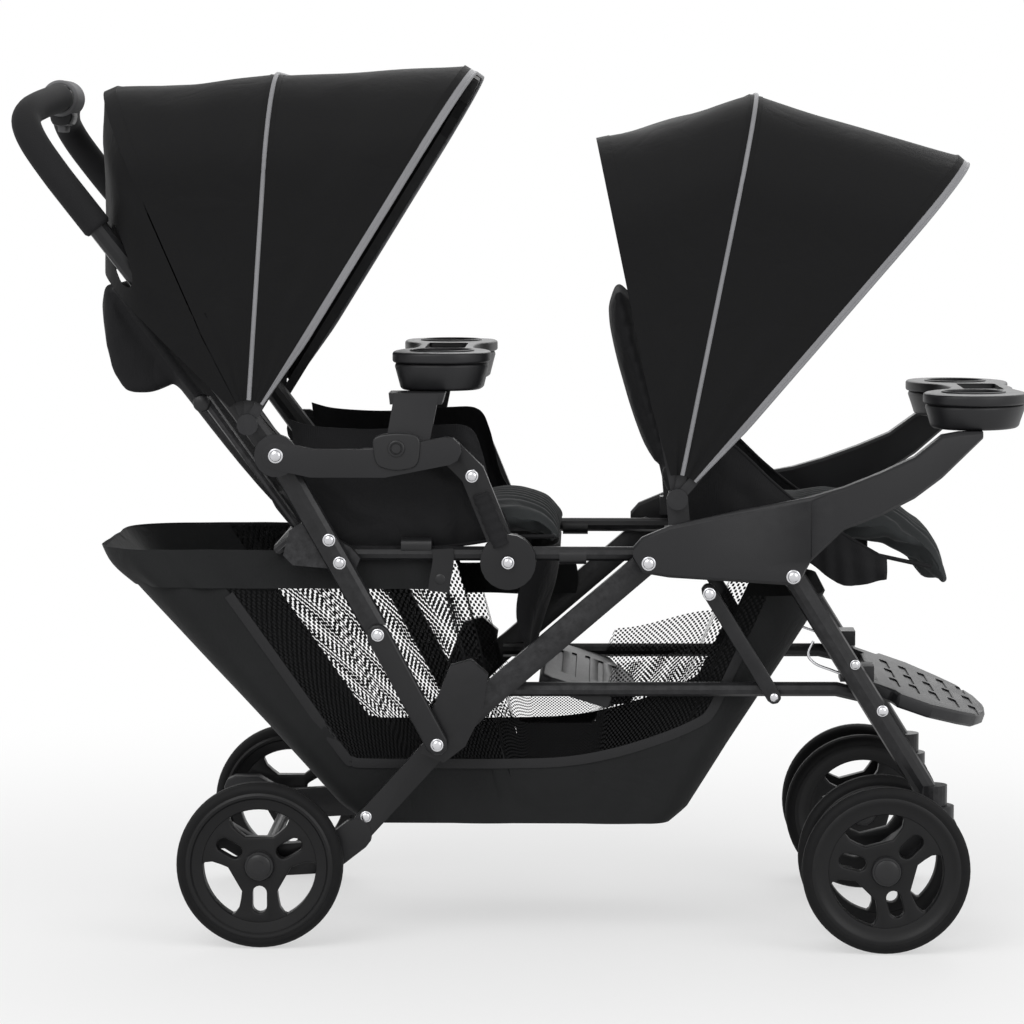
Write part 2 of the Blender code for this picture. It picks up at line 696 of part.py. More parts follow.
def front_covers():
    """The front covers, each sweeping up into the arm that carries the front tray."""
    stations = (
        (0.1515, 0.4765, 0.4910, COVER_IN, COVER_OUT),
        (0.162, 0.4600, 0.5030, COVER_IN, COVER_OUT),
        (0.195, 0.4545, 0.5170, COVER_IN, COVER_OUT),
        (0.280, 0.4500, 0.5360, COVER_IN, COVER_OUT),
        (0.350, 0.4450, 0.5490, COVER_IN, COVER_OUT),
        (0.366, 0.4750, 0.5523, COVER_IN - 0.006, COVER_OUT),
        (0.4055, 0.5126, 0.5640, 0.2180, 0.2455),
        (0.450, 0.5290, 0.5810, 0.2080, 0.2380),
        (0.4913, 0.5491, 0.5993, 0.1970, 0.2280),
        (0.525, 0.5730, 0.6250, 0.1870, 0.2170),
        (0.5468, 0.5930, 0.6285, 0.1810, 0.2100),
        (0.5758, 0.6200, 0.6285, 0.1720, 0.1980),
    )
    for side, sign in SIDES:
        rings = []
        for x, low, high, inner, outer in stations:
            section = cover_section(x, low, high, inner, outer)
            rings.append([Vector((x - CENTRE_X, sign * y, z)) for y, z in section])
        cover = loft("front_cover_" + side, rings, "plastic")
        foot = [at(0.190, 0.490), at(0.228, 0.490), at(0.228, 0.514), at(0.190, 0.514)]
        bridge = side_slab("bridge", [foot], LEG_IN + 0.001, COVER_IN + 0.006, sign, "plastic")
        combine(cover, bridge, "UNION")
        lug = ribbon([at(0.209, 0.500), FRONT_CANOPY_PIVOT], 0.026)
        ear = side_slab("ear", [lug], LEG_IN + 0.0004, LEG_OUT, sign, "plastic")
        combine(cover, ear, "UNION")


def rear_legs():
    """Rear legs with their hubs, the axle, the knee links and the brake levers."""
    leg = [at(-0.200, 0.119), at(-0.0862, 0.2442), at(-0.0225, 0.3061), REAR_LEG_PIVOT]
    foot = [WHEELS_REAR, at(-0.222, 0.1065), at(-0.186, 0.1345)]
    hub = [
        at(-0.106, 0.238), at(-0.078, 0.226), at(-0.052, 0.246), at(-0.030, 0.290),
        at(-0.024, 0.334), at(-0.045, 0.352), at(-0.070, 0.345), at(-0.092, 0.290),
    ]
    for side, sign in SIDES:
        name = "rear_leg_" + side
        bar = side_slab(name, [ribbon(leg, BAR_WIDTH)], LEG_IN, LEG_OUT, sign, "steel")
        shoe = side_slab("shoe", [ribbon(foot, 0.039, 6)], LEG_IN + 0.001, LEG_OUT + 0.002, sign, "plastic")
        combine(bar, shoe, "UNION")
        knuckle = side_slab("knuckle", [hub], LEG_OUT - 0.002, UPRIGHT_OUT, sign, "plastic")
        combine(bar, knuckle, "UNION")
        hole = drum("hole", WHEELS_REAR, AXLE_RADIUS + GAP, sign * 0.19, sign * 0.23, "steel", 16)
        combine(bar, hole, "DIFFERENCE")
        link = ribbon([HUB_PIVOT, KNEE], 0.028)
        side_slab("knee_link_" + side, [link], LINK_IN, LINK_OUT, sign, "steel")
        brake_lever(side, sign)
    x, z = WHEELS_REAR
    reach = REAR_WHEEL_Y + REAR_WHEEL_WIDTH / 2 + 0.003
    drum("rear_axle", WHEELS_REAR, AXLE_RADIUS, -reach, reach, "steel", 16)


def brake_lever(side, sign):
    """A foot lever that turns on the axle beside a rear leg."""
    shape = ribbon([WHEELS_REAR, at(-0.345, 0.128), at(-0.372, 0.128)], 0.030)
    inner = LEG_IN - 0.004 - 0.020
    lever = side_slab("brake_lever_" + side, [shape], inner, LEG_IN - GAP, sign, "plastic")
    hole = drum("hole", WHEELS_REAR, AXLE_RADIUS + GAP, sign * 0.16, sign * 0.21, "plastic", 16)
    combine(lever, hole, "DIFFERENCE")


def front_legs():
    """Front legs, casters with their axle stubs, and both footrests."""
    top = Vector(FRONT_LEG_PIVOT)
    end = Vector(at(0.512, 0.1868))
    run = (end - top).normalized()
    for side, sign in SIDES:
        y = sign * FRONT_LEG_Y
        start = top - run * 0.010
        line = [(start.x, y, start.y), (end.x, y, end.y)]
        leg = rod("front_leg_" + side, line, LEG_DIAMETER / 2, "steel", 4)
        socket = post("socket", (SWIVEL[0], y), 0.0185, CASTER_TOP + GAP, 0.199, "plastic", 20)
        combine(leg, socket, "UNION")
        caster(side, sign, y)
    front_footrest()
    mid_footrest()


def caster(side, sign, y):
    """A swivelling caster with its head, its fork block and two axle stubs."""
    name = "caster_" + side
    arm = ribbon([at(0.5165, 0.150), at(0.500, 0.132), WHEELS_FRONT], 0.040, 6)
    block_half = 0.0215
    low, high = y - block_half, y + block_half
    fork = slab(name, [arm], low, high, "plastic", 0.002)
    head = post("head", (SWIVEL[0], y), 0.027, 0.1465, CASTER_TOP, "plastic", 20)
    combine(fork, head, "UNION")
    reach = FRONT_WHEEL_OFFSET + FRONT_WHEEL_WIDTH / 2 + 0.002
    stub = drum("stub", WHEELS_FRONT, STUB_RADIUS, y - reach, y + reach, "steel", 16)
    combine(fork, stub, "UNION")


def sloped(name, outline, thickness, pivot, slope, kind):
    """A lying slab that slopes down to the front about a side-view point."""
    flat = slab(name, [outline], -thickness, 0.0, kind, 0.003, lying=True)
    turn = Matrix.Rotation(math.radians(slope), 4, "Y")
    place = Matrix.Translation((pivot[0], 0.0, pivot[1]))
    flat.matrix_world = place @ turn
    return flat


def front_footrest():
    """The wide front footrest between the front legs."""
    half = [
        (0.156, 0.0), (0.150, 0.07), (0.132, 0.135), (0.105, 0.168), (0.070, 0.1985),
        (0.026, 0.1985), (0.020, 0.176), (-0.030, 0.176), (-0.030, 0.150), (0.0, 0.140), (0.0, 0.0),
    ]
    pivot = at(0.453, 0.3165)
    foot = sloped("front_footrest", mirrored_path(half), 0.017, pivot, 19.0, "plastic")
    rear, front = at(0.405, 0)[0], at(0.446, 0)[0]
    for sign in (-1, 1):
        low, high = sorted((sign * 0.155, sign * (LEG_IN - GAP)))
        combine(foot, block("lug", (rear, low, 0.3225), (front, high, 0.3415), "plastic"), "UNION")


def mirrored_path(half):
    """A closed plan outline from a left half whose two ends lie on the middle."""
    return half[:-1] + [half[-1]] + [(x, -y) for x, y in reversed(half[1:-1])]


def mid_footrest():
    """The rear rider's footrest, held between the low rails."""
    reach = RAIL_Y - RAIL_DIAMETER / 2 - GAP
    half = [
        (0.125, 0.0), (0.120, 0.08), (0.100, 0.135), (0.092, reach), (0.010, reach),
        (0.0, 0.165), (0.0, 0.0),
    ]
    return sloped("mid_footrest", mirrored_path(half), 0.017, at(0.040, 0.3285), 17.0, "plastic")


def spine_from(pivot, angle, start, length, sag=0.0, steps=5):
    """A side-view line from a pivot at an angle, with a small sag to its front."""
    direction = Vector((math.cos(math.radians(angle)), math.sin(math.radians(angle))))
    normal = Vector((direction.y, -direction.x))
    points = []
    for step in range(steps + 1):
        share = step / steps
        bow = sag * math.sin(math.pi * share)
        points.append(tuple(Vector(pivot) + direction * (start + length * share) - normal * bow))
    return points


def hinge_ears(seat, pivot, reach, toward):
    """Ears on both sides of a seat back that run to its pivot."""
    for sign in (-1, 1):
        outline = ribbon([pivot, toward], 0.016)
        ear = side_slab("ear", [outline], BACK_HALF_WIDTH - 0.03, reach, sign, "plastic")
        combine(seat, ear, "UNION")


def seats():
    """Seat pads, seat backs, the rear seat's calf flap and the recline frame."""
    rear = [
        at(-0.236, 0.490), at(-0.150, 0.494), at(-0.060, 0.508), at(0.010, 0.520),
        at(0.048, 0.508), at(0.060, 0.482),
    ]
    cushion("rear_seat_pad", rear, SEAT_HALF_WIDTH, PAD_HALF_THICKNESS, "seat_cloth", 5, (20, 8))
    front = [
        at(0.226, 0.503), at(0.300, 0.505), at(0.400, 0.513), at(0.470, 0.506),
        at(0.515, 0.476), at(0.531, 0.430),
    ]
    cushion("front_seat_pad", front, SEAT_HALF_WIDTH, 0.0175, "seat_cloth", 5, (20, 8))
    flap = [at(0.0608, 0.4807), at(0.055, 0.435), at(0.038, 0.385), at(0.026, 0.348)]
    cushion("calf_flap", flap, 0.150, 0.006, "seat_cloth", 0, (6, 6))
    line = spine_from(REAR_BACK_PIVOT, REAR_BACK_LEAN, 0.022, BACK_LENGTH_REAR - 0.022, 0.002)
    back = cushion("rear_seat_back", line, BACK_HALF_WIDTH, 0.0155, "canopy_cloth", 0, (12, 8))
    pouch = pouch_outline()
    half = BACK_HALF_WIDTH - POUCH_INSET
    combine(back, slab("pouch", [pouch], -half, half, "canopy_cloth", 0.006), "UNION")
    toward = Vector(REAR_BACK_PIVOT) + (Vector(line[1]) - Vector(REAR_BACK_PIVOT)) * 0.52
    hinge_ears(back, REAR_BACK_PIVOT, RECLINE_IN - GAP, tuple(toward))
    line = spine_from(FRONT_CANOPY_PIVOT, 106.0, 0.024, BACK_LENGTH_FRONT - 0.024, 0.004)
    back = cushion("front_seat_back", line, BACK_HALF_WIDTH, 0.0165, "canopy_cloth", 0, (10, 8))
    toward = Vector(FRONT_CANOPY_PIVOT) + (Vector(line[1]) - Vector(FRONT_CANOPY_PIVOT)) * 0.4
    hinge_ears(back, FRONT_CANOPY_PIVOT, LEG_IN - GAP, tuple(toward))
    recline_frame()


def pouch_outline():
    """The side view of the pouch behind the rear seat back, from shares of the back's length."""
    lean = math.radians(REAR_BACK_LEAN)
    run = Vector((math.cos(lean), math.sin(lean)))
    behind = Vector((-math.sin(lean), math.cos(lean)))
    start = Vector(REAR_BACK_PIVOT)
    return [tuple(start + run * (share * BACK_LENGTH_REAR) + behind * off) for share, off in POUCH]


def recline_frame():
    """The thin tube frame beside the rear seat back, with its cross bar behind the pivots."""
    x, z = REAR_BACK_PIVOT
    y = RECLINE_IN + RECLINE_RADIUS
    tilt = math.radians(125.8)
    run = Vector((math.cos(tilt), math.sin(tilt)))
    top = Vector((x, z)) + run * RECLINE_REACH
    tail = Vector((x, z)) + Vector((-math.sin(tilt), math.cos(tilt))) * RECLINE_TAIL
    path = [(top.x, -y, top.y), (x, -y, z), (tail.x, -y, tail.y)]
    path += [(tail.x, y, tail.y), (x, y, z), (top.x, y, top.y)]
    rod("rear_recline_tube", path, RECLINE_RADIUS, "steel", 2)


def bow(name, pivot, angle, reach, half_width, kind="plastic"):
    """A canopy bow: a hoop of strip that stands at an angle about its pivot."""
    middle = (half_width - CANOPY_SHOULDER, reach - CANOPY_SHOULDER)
    tail = -0.009
    outside = [(half_width, tail)] + arc(middle, CANOPY_SHOULDER, 0, 90, 6)
    inner = CANOPY_SHOULDER - BOW_THICKNESS
    inside = [(half_width - BOW_THICKNESS, tail)] + arc(middle, inner, 0, 90, 6)
    half = outside + [(-y, r) for y, r in reversed(outside)]
    hollow = inside + [(-y, r) for y, r in reversed(inside)]
    outline = half + list(reversed(hollow))
    hoop = slab(name, [outline], -BOW_WIDTH / 2, BOW_WIDTH / 2, kind, lying=True)
    stand = bow_frame(pivot, angle)
    hoop.data.transform(stand)
    return hoop


def bow_frame(pivot, angle):
    """Turns a plan hoop, reach along its Y, to stand at an angle about the pivot."""
    lean = math.radians(angle)
    reach = Vector((math.cos(lean), 0.0, math.sin(lean)))
    across = Vector((0.0, 1.0, 0.0))
    normal = across.cross(reach)
    matrix = Matrix((across, reach, normal)).transposed().to_4x4()
    matrix.translation = Vector((pivot[0], 0.0, pivot[1]))
    return matrix


def canopy(prefix, pivot, bows, base, skirt=()):
    """Three bows in their layers, two pivot caps, and the cloth over them."""
    names = ("back_bow", "mid_bow", "front_bow")
    for layer, (label, (angle, reach)) in enumerate(zip(names, bows)):
        half_width = base + layer * BOW_STEP + BOW_THICKNESS
        bow(prefix + "_canopy_" + label, pivot, angle, reach, half_width)
    outer = base + 3 * BOW_STEP
    for side, sign in SIDES:
        drum(prefix + "_canopy_cap_" + side, pivot, 0.013, sign * outer, sign * (outer + 0.003), "plastic", 14)
    return canopy_cloth(prefix, pivot, bows, outer, skirt)


def canopy_cloth(prefix, pivot, bows, half_width, skirt):
    """The cloth over the bows, as two bent sheets that meet over the middle bow."""
    wide = half_width + CLOTH_LEAD
    landing = BOW_WIDTH / 2 + 0.001
    hoops = []
    for angle, reach in bows:
        for offset in (-landing, landing):
            hoops.append(hoop_line(pivot, angle, reach + CLOTH_LEAD, wide, offset))
    angle, reach = bows[1]
    before, beyond = [
        hoop_line(pivot, angle, reach + CLOTH_LEAD, wide, offset) for offset in (-SEAM, SEAM)
    ]
    rows = [hoop_line(pivot, lean, tall, wide, 0.0) for lean, tall in skirt]
    rows += [hoops[0], hoops[1]] + slack_rows(pivot, hoops[1], hoops[2]) + [hoops[2], before]
    cloth = bent_sheet(prefix + "_canopy_cloth", rows)
    rows = [beyond, hoops[3]] + slack_rows(pivot, hoops[3], hoops[4]) + [hoops[4], hoops[5]]
    bent_sheet(prefix + "_canopy_front_cloth", rows)
    return cloth


def slack_rows(pivot, first, second):
    """The rows of slack cloth between two bows."""
    return [slack_line(pivot, first, second, share) for share in (1 / 3, 2 / 3)]


def bent_sheet(name, rows):
    """A sheet of cloth through rows of points, with its wall."""
    bm = bmesh.new()
    made = [[bm.verts.new(point) for point in row] for row in rows]
    for row, following in zip(made, made[1:]):
        for index in range(len(row) - 1):
            bm.faces.new((row[index], row[index + 1], following[index + 1], following[index]))
    obj = from_bmesh(name, bm, "canopy_cloth")
    wall = obj.modifiers.new("wall", "SOLIDIFY")
    wall.thickness = FABRIC
    wall.offset = 0.0
    wall.use_even_offset = True
    return obj


def hoop_line(pivot, angle, tall, wide, offset):
    """Points of the cloth over one bow, a step off the middle of the bow."""
    stand = bow_frame(pivot, angle)
    corner = CANOPY_SHOULDER
    line = [(wide, CLOTH_START), (wide, (tall - corner) * 0.5)]
    line += arc((wide - corner, tall - corner), corner, 0, 90, 6)
    line += [(-y, r) for y, r in reversed(line)]
    return [stand @ Vector((y, r, offset * min(1.0, r / 0.12))) for y, r in line]


def upright_holes(cloth):
    """Holes in the hanging back of the rear canopy, where the uprights pass out."""
    start = Vector((ARMREST_PIVOT[0], (UPRIGHT_IN + UPRIGHT_OUT) / 2, ARMREST_PIVOT[1]))
    top = handle_path()[3]
    end = Vector((top.x, -top.y, top.z))
    for side, sign in SIDES:
        points = [start.lerp(end, share) for share in (0.35, 1.0)]
        line = [(point.x, sign * point.y, point.z) for point in points]
        passage = rod("passage", line, HANDLE_RADIUS + 0.004, "steel", 2)
        combine(cloth, passage, "DIFFERENCE")


def slack_line(pivot, first, second, share):
    """Points of the cloth between two bows, drawn in a little by its slack."""
    sag = CLOTH_SAG * math.sin(math.pi * share)
    points = []
    for start, end in zip(first, second):
        point = start.lerp(end, share)
        radial = Vector((point.x - pivot[0], 0.0, point.z - pivot[1]))
        pull = sag * min(1.0, radial.length / 0.4)
        points.append(point - radial.normalized() * pull)
    return points


def basket():
    """The storage basket: an open tub with slanted ends and a low place at the footrest."""
    floor = rounded_rectangle(0.190, BASKET_HALF_WIDTH - 0.010, 0.030)
    rim = rounded_rectangle(0.4475, BASKET_HALF_WIDTH, 0.060)
    rows = []
    for share, bulge in ((0.0, 0.0), (0.06, 0.010), (0.5, 0.008), (1.0, 0.0)):
        row = []
        for (x_low, y_low), (x_high, y_high) in zip(floor, rim):
            low_x = x_low + at(0.008, 0)[0]
            high_x = x_high + at(-0.0575, 0)[0]
            top = 0.478 if high_x < -0.1 else 0.425
            x = low_x + (high_x - low_x) * share + math.copysign(bulge, x_low) * (share > 0)
            y = y_low + (y_high - y_low) * min(1.0, share * 3)
            z = BASKET_FLOOR_Z + BASKET_WALL + (top - BASKET_FLOOR_Z) * share
            row.append(Vector((x, y, z)))
        rows.append(row)
    bm = bmesh.new()
    made = [[bm.verts.new(point) for point in row] for row in rows]
    count = len(floor)
    for row, following in zip(made, made[1:]):
        for index in range(count):
            after = (index + 1) % count
            bm.faces.new((row[index], row[after], following[after], following[index]))
    bm.faces.new(made[0])
    tub = from_bmesh("basket", bm, "mesh_cloth")
    wall = tub.modifiers.new("wall", "SOLIDIFY")
    wall.thickness = BASKET_WALL
    wall.offset = 1.0
    x_low, x_high = at(-0.030, 0)[0], at(0.195, 0)[0]
    notch = block("notch", (x_low, -0.25, 0.268), (x_high, 0.25, 0.6), "mesh_cloth")
    combine(tub, notch, "DIFFERENCE")
    side_cut = block("side_cut", (at(-0.245, 0)[0], -0.25, 0.452), (x_high, 0.25, 0.6), "mesh_cloth")
    combine(tub, side_cut, "DIFFERENCE")


for old in list(bpy.data.objects):
    drop(old)
PARTS = collection("double_stroller")
wheel_copies()
handle()
armrests()
trays()
struts()
rails()
front_covers()
rear_legs()
front_legs()
seats()
upright_holes(canopy("rear", REAR_CANOPY_PIVOT, REAR_BOWS, LINK_IN, REAR_SKIRT))
canopy("front", FRONT_CANOPY_PIVOT, FRONT_BOWS, UPRIGHT_IN)
basket()
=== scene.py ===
"""Tandem double stroller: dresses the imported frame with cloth, pads, trays, wheels and trim.

Every piece is in metres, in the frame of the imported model: +X to the front, +Z up.
"""

from __future__ import annotations

import logging
import math
from dataclasses import dataclass
from enum import Enum
from typing import Callable, Iterable, Sequence

import bmesh
import bpy
from mathutils import Matrix, Vector, noise
from mathutils.geometry import area_tri


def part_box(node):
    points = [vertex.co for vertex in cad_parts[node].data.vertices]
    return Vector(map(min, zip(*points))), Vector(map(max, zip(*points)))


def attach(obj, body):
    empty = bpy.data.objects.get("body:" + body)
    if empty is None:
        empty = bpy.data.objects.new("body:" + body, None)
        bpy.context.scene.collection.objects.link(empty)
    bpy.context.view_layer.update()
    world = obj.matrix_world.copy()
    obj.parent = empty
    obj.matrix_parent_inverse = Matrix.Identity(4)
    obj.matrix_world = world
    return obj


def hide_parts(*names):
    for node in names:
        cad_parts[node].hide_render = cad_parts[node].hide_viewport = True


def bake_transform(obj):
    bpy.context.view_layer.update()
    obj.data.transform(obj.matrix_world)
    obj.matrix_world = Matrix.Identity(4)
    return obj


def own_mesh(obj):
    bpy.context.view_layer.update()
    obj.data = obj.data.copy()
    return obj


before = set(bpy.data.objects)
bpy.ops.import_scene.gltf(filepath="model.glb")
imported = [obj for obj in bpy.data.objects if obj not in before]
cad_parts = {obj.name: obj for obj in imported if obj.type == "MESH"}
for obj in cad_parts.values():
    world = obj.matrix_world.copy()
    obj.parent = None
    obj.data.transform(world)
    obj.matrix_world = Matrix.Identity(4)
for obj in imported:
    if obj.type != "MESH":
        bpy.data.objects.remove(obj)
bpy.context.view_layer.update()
LOG = logging.getLogger("double_stroller")

SIDES = (("right", -1.0), ("left", 1.0))
CENTRE_X = 0.01693
DUST_COLOUR = (0.12, 0.117, 0.113, 1.0)
Outline = Sequence[tuple[float, float]]
Placing = Callable[[float, float], Vector]


class Slot(Enum):
    """The record's material slots."""

    STEEL = "steel"
    PLASTIC = "plastic"
    GREY_PLASTIC = "grey_plastic"
    FOAM = "foam"
    CANOPY_CLOTH = "canopy_cloth"
    SEAT_CLOTH = "seat_cloth"
    MESH_CLOTH = "mesh_cloth"
    TYRE = "tyre"


class Facing(Enum):
    """Which way a flat form lies."""

    SIDE = "side"
    PLAN = "plan"


def at(x: float, z: float) -> tuple[float, float]:
    """Moves a side-view point from the frame's station datum to the model's origin.

    Args:
        x: Station along the frame.
        z: Height over the floor.

    Returns:
        The point in the model.
    """
    return (x - CENTRE_X, z)


class Graph:
    """Adds and links the nodes of one node tree."""

    def __init__(self, tree: bpy.types.NodeTree) -> None:
        """Keeps the tree."""
        self.tree = tree

    def add(self, kind: str, **values: object) -> bpy.types.Node:
        """Adds a node and fills in its sockets and settings.

        Args:
            kind: The node's type.
            **values: Socket values or links by socket name, or settings by attribute name.

        Returns:
            The node.
        """
        node = self.tree.nodes.new(kind)
        node.location = (180.0 * (len(self.tree.nodes) % 8), -220.0 * (len(self.tree.nodes) // 8))
        for key, value in values.items():
            label = key.replace("_", " ")
            if label in node.inputs:
                self.feed(node.inputs[label], value)
            else:
                setattr(node, key, value)
        return node

    def feed(self, socket: bpy.types.NodeSocket, value: object) -> None:
        """Links a socket to another, or sets its plain value."""
        if isinstance(value, bpy.types.NodeSocket):
            self.tree.links.new(value, socket)
        else:
            socket.default_value = value

    def math(self, operation: str, *terms: object) -> bpy.types.NodeSocket:
        """Adds a Math node.

        Args:
            operation: Blender's name for the operation.
            *terms: Numbers or sockets.

        Returns:
            The result's socket.
        """
        node = self.tree.nodes.new("ShaderNodeMath")
        node.operation = operation
        for socket, term in zip(node.inputs, terms):
            self.feed(socket, term)
        return node.outputs[0]

    def mix(self, share: object, first: object, second: object) -> bpy.types.NodeSocket:
        """Mixes two colours.

        Args:
            share: How much of the second.
            first: The first colour, or its socket.
            second: The second colour, or its socket.

        Returns:
            The mixed colour's socket.
        """
        node = self.tree.nodes.new("ShaderNodeMix")
        node.data_type = "RGBA"
        self.feed(node.inputs[0], share)
        self.feed(node.inputs[6], first)
        self.feed(node.inputs[7], second)
        return node.outputs[2]

    def seen(self) -> bpy.types.NodeSocket:
        """Adds a value that is 1 for camera, glossy and transmission rays and 0 for all others.

        Returns:
            The value's socket.
        """
        path = self.add("ShaderNodeLightPath")
        seen = self.math("MAXIMUM", path.outputs["Is Camera Ray"], path.outputs["Is Glossy Ray"])
        return self.math("MAXIMUM", seen, path.outputs["Is Transmission Ray"])


def new_group(
    name: str, inputs: dict[str, float | None], outputs: Iterable[str]
) -> tuple[Graph, dict, dict]:
    """Starts a shader node group.

    Args:
        name: The group's name.
        inputs: Socket names with their defaults; None makes a vector socket.
        outputs: Names of the value outputs.

    Returns:
        The group's graph, its inner input sockets and its inner output sockets.
    """
    tree = bpy.data.node_groups.new(name, "ShaderNodeTree")
    for label, value in inputs.items():
        kind = "NodeSocketVector" if value is None else "NodeSocketFloat"
        socket = tree.interface.new_socket(label, in_out="INPUT", socket_type=kind)
        if value is not None:
            socket.default_value = value
    for label in outputs:
        tree.interface.new_socket(label, in_out="OUTPUT", socket_type="NodeSocketFloat")
    entry = tree.nodes.new("NodeGroupInput")
    leave = tree.nodes.new("NodeGroupOutput")
    return Graph(tree), dict(entry.outputs.items()), dict(leave.inputs.items())


def weave_group() -> bpy.types.NodeTree:
    """Plain weave: crossing threads with uneven yarn, read in metres.

    Returns:
        The node group.
    """
    graph, given, put = new_group("plain_weave", {"Vector": None, "Threads": 900.0}, ("Height", "Shade"))
    turn = graph.math("MULTIPLY", given["Threads"], math.pi)
    scaled = graph.add("ShaderNodeVectorMath", operation="SCALE", Scale=turn)
    graph.feed(scaled.inputs[0], given["Vector"])
    parts = graph.add("ShaderNodeSeparateXYZ", Vector=scaled.outputs[0])
    warp = graph.math("SINE", parts.outputs[0])
    weft = graph.math("SINE", parts.outputs[1])
    over = graph.math("MULTIPLY", warp, weft)
    lift = graph.math("MULTIPLY_ADD", over, 0.5, 0.5)
    yarn = graph.add("ShaderNodeTexNoise", Vector=given["Vector"], Scale=260.0, Detail=3.0)
    uneven = graph.math("MULTIPLY_ADD", yarn.outputs[0], 0.6, -0.3)
    graph.feed(put["Height"], graph.math("ADD", lift, uneven))
    slow = graph.add("ShaderNodeTexNoise", Vector=given["Vector"], Scale=9.0, Detail=5.0)
    graph.feed(put["Shade"], slow.outputs[0])
    return graph.tree


def grain_group() -> bpy.types.NodeTree:
    """Moulded grain: fine pebbling with a slow change in gloss.

    Returns:
        The node group.
    """
    graph, given, put = new_group("moulded_grain", {"Vector": None, "Fineness": 900.0}, ("Height", "Gloss"))
    pebble = graph.add("ShaderNodeTexVoronoi", Vector=given["Vector"], Scale=given["Fineness"])
    spread = graph.add("ShaderNodeTexNoise", Vector=given["Vector"], Scale=given["Fineness"], Detail=2.0)
    graph.feed(put["Height"], graph.math("ADD", pebble.outputs[0], spread.outputs[0]))
    slow = graph.add("ShaderNodeTexNoise", Vector=given["Vector"], Scale=14.0, Detail=6.0, Roughness=0.6)
    graph.feed(put["Gloss"], slow.outputs[0])
    return graph.tree


def wear_group() -> bpy.types.NodeTree:
    """Wear on edges and thin handling marks.

    Returns:
        The node group.
    """
    graph, given, put = new_group("edge_wear", {"Vector": None, "Amount": 0.5}, ("Mask",))
    shape = graph.add("ShaderNodeNewGeometry")
    edge = graph.math("MULTIPLY_ADD", shape.outputs["Pointiness"], 9.0, -4.75)
    broken = graph.add("ShaderNodeTexNoise", Vector=given["Vector"], Scale=70.0, Detail=6.0, Roughness=0.7)
    chance = graph.math("MULTIPLY_ADD", broken.outputs[0], 2.0, -0.75)
    joined = graph.math("MULTIPLY", edge, chance)
    capped = graph.math("MULTIPLY", graph.math("MAXIMUM", joined, 0.0), given["Amount"])
    graph.feed(put["Mask"], graph.math("MINIMUM", capped, 1.0))
    return graph.tree


def dust_group() -> bpy.types.NodeTree:
    """Thin dust that settles on what faces up.

    Returns:
        The node group.
    """
    graph, given, put = new_group("settled_dust", {"Vector": None, "Amount": 0.2}, ("Mask",))
    shape = graph.add("ShaderNodeNewGeometry")
    parts = graph.add("ShaderNodeSeparateXYZ", Vector=shape.outputs["Normal"])
    upward = graph.math("MAXIMUM", parts.outputs[2], 0.0)
    cloud = graph.add("ShaderNodeTexNoise", Vector=given["Vector"], Scale=22.0, Detail=7.0, Roughness=0.65)
    thin = graph.math("MULTIPLY", upward, cloud.outputs[0])
    graph.feed(put["Mask"], graph.math("MULTIPLY", thin, given["Amount"]))
    return graph.tree


def net_group() -> bpy.types.NodeTree:
    """Knitted net: rows of staggered oval holes between yarns, read in metres.

    Returns:
        The node group.
    """
    inputs = {"Vector": None, "Pitch": 0.005, "Yarn": 0.5}
    graph, given, put = new_group("knitted_net", inputs, ("Yarn", "Height"))
    per = graph.math("DIVIDE", 2.0 * math.pi, given["Pitch"])
    scaled = graph.add("ShaderNodeVectorMath", operation="SCALE", Scale=per)
    graph.feed(scaled.inputs[0], given["Vector"])
    parts = graph.add("ShaderNodeSeparateXYZ", Vector=scaled.outputs[0])
    along, up = parts.outputs[0], graph.math("MULTIPLY", parts.outputs[1], 0.62)
    first = graph.math("MULTIPLY", graph.math("COSINE", along), graph.math("COSINE", up))
    open_share = graph.math("MULTIPLY_ADD", first, 0.5, 0.5)
    hole = graph.math("GREATER_THAN", open_share, given["Yarn"])
    graph.feed(put["Yarn"], graph.math("SUBTRACT", 1.0, hole))
    graph.feed(put["Height"], graph.math("SUBTRACT", 1.0, open_share))
    return graph.tree


class Groups:
    """The shared node groups, each built once."""

    made: dict[str, bpy.types.NodeTree] = {}
    makers = {
        "weave": weave_group,
        "grain": grain_group,
        "wear": wear_group,
        "dust": dust_group,
        "net": net_group,
    }

    @classmethod
    def use(cls, graph: Graph, name: str, **values: object) -> bpy.types.Node:
        """Places a group in a material.

        Args:
            graph: The material's graph.
            name: Which group.
            **values: The group's inputs.

        Returns:
            The group node.
        """
        if name not in cls.made:
            cls.made[name] = cls.makers[name]()
        node = graph.tree.nodes.new("ShaderNodeGroup")
        node.node_tree = cls.made[name]
        for key, value in values.items():
            graph.feed(node.inputs[key], value)
        return node


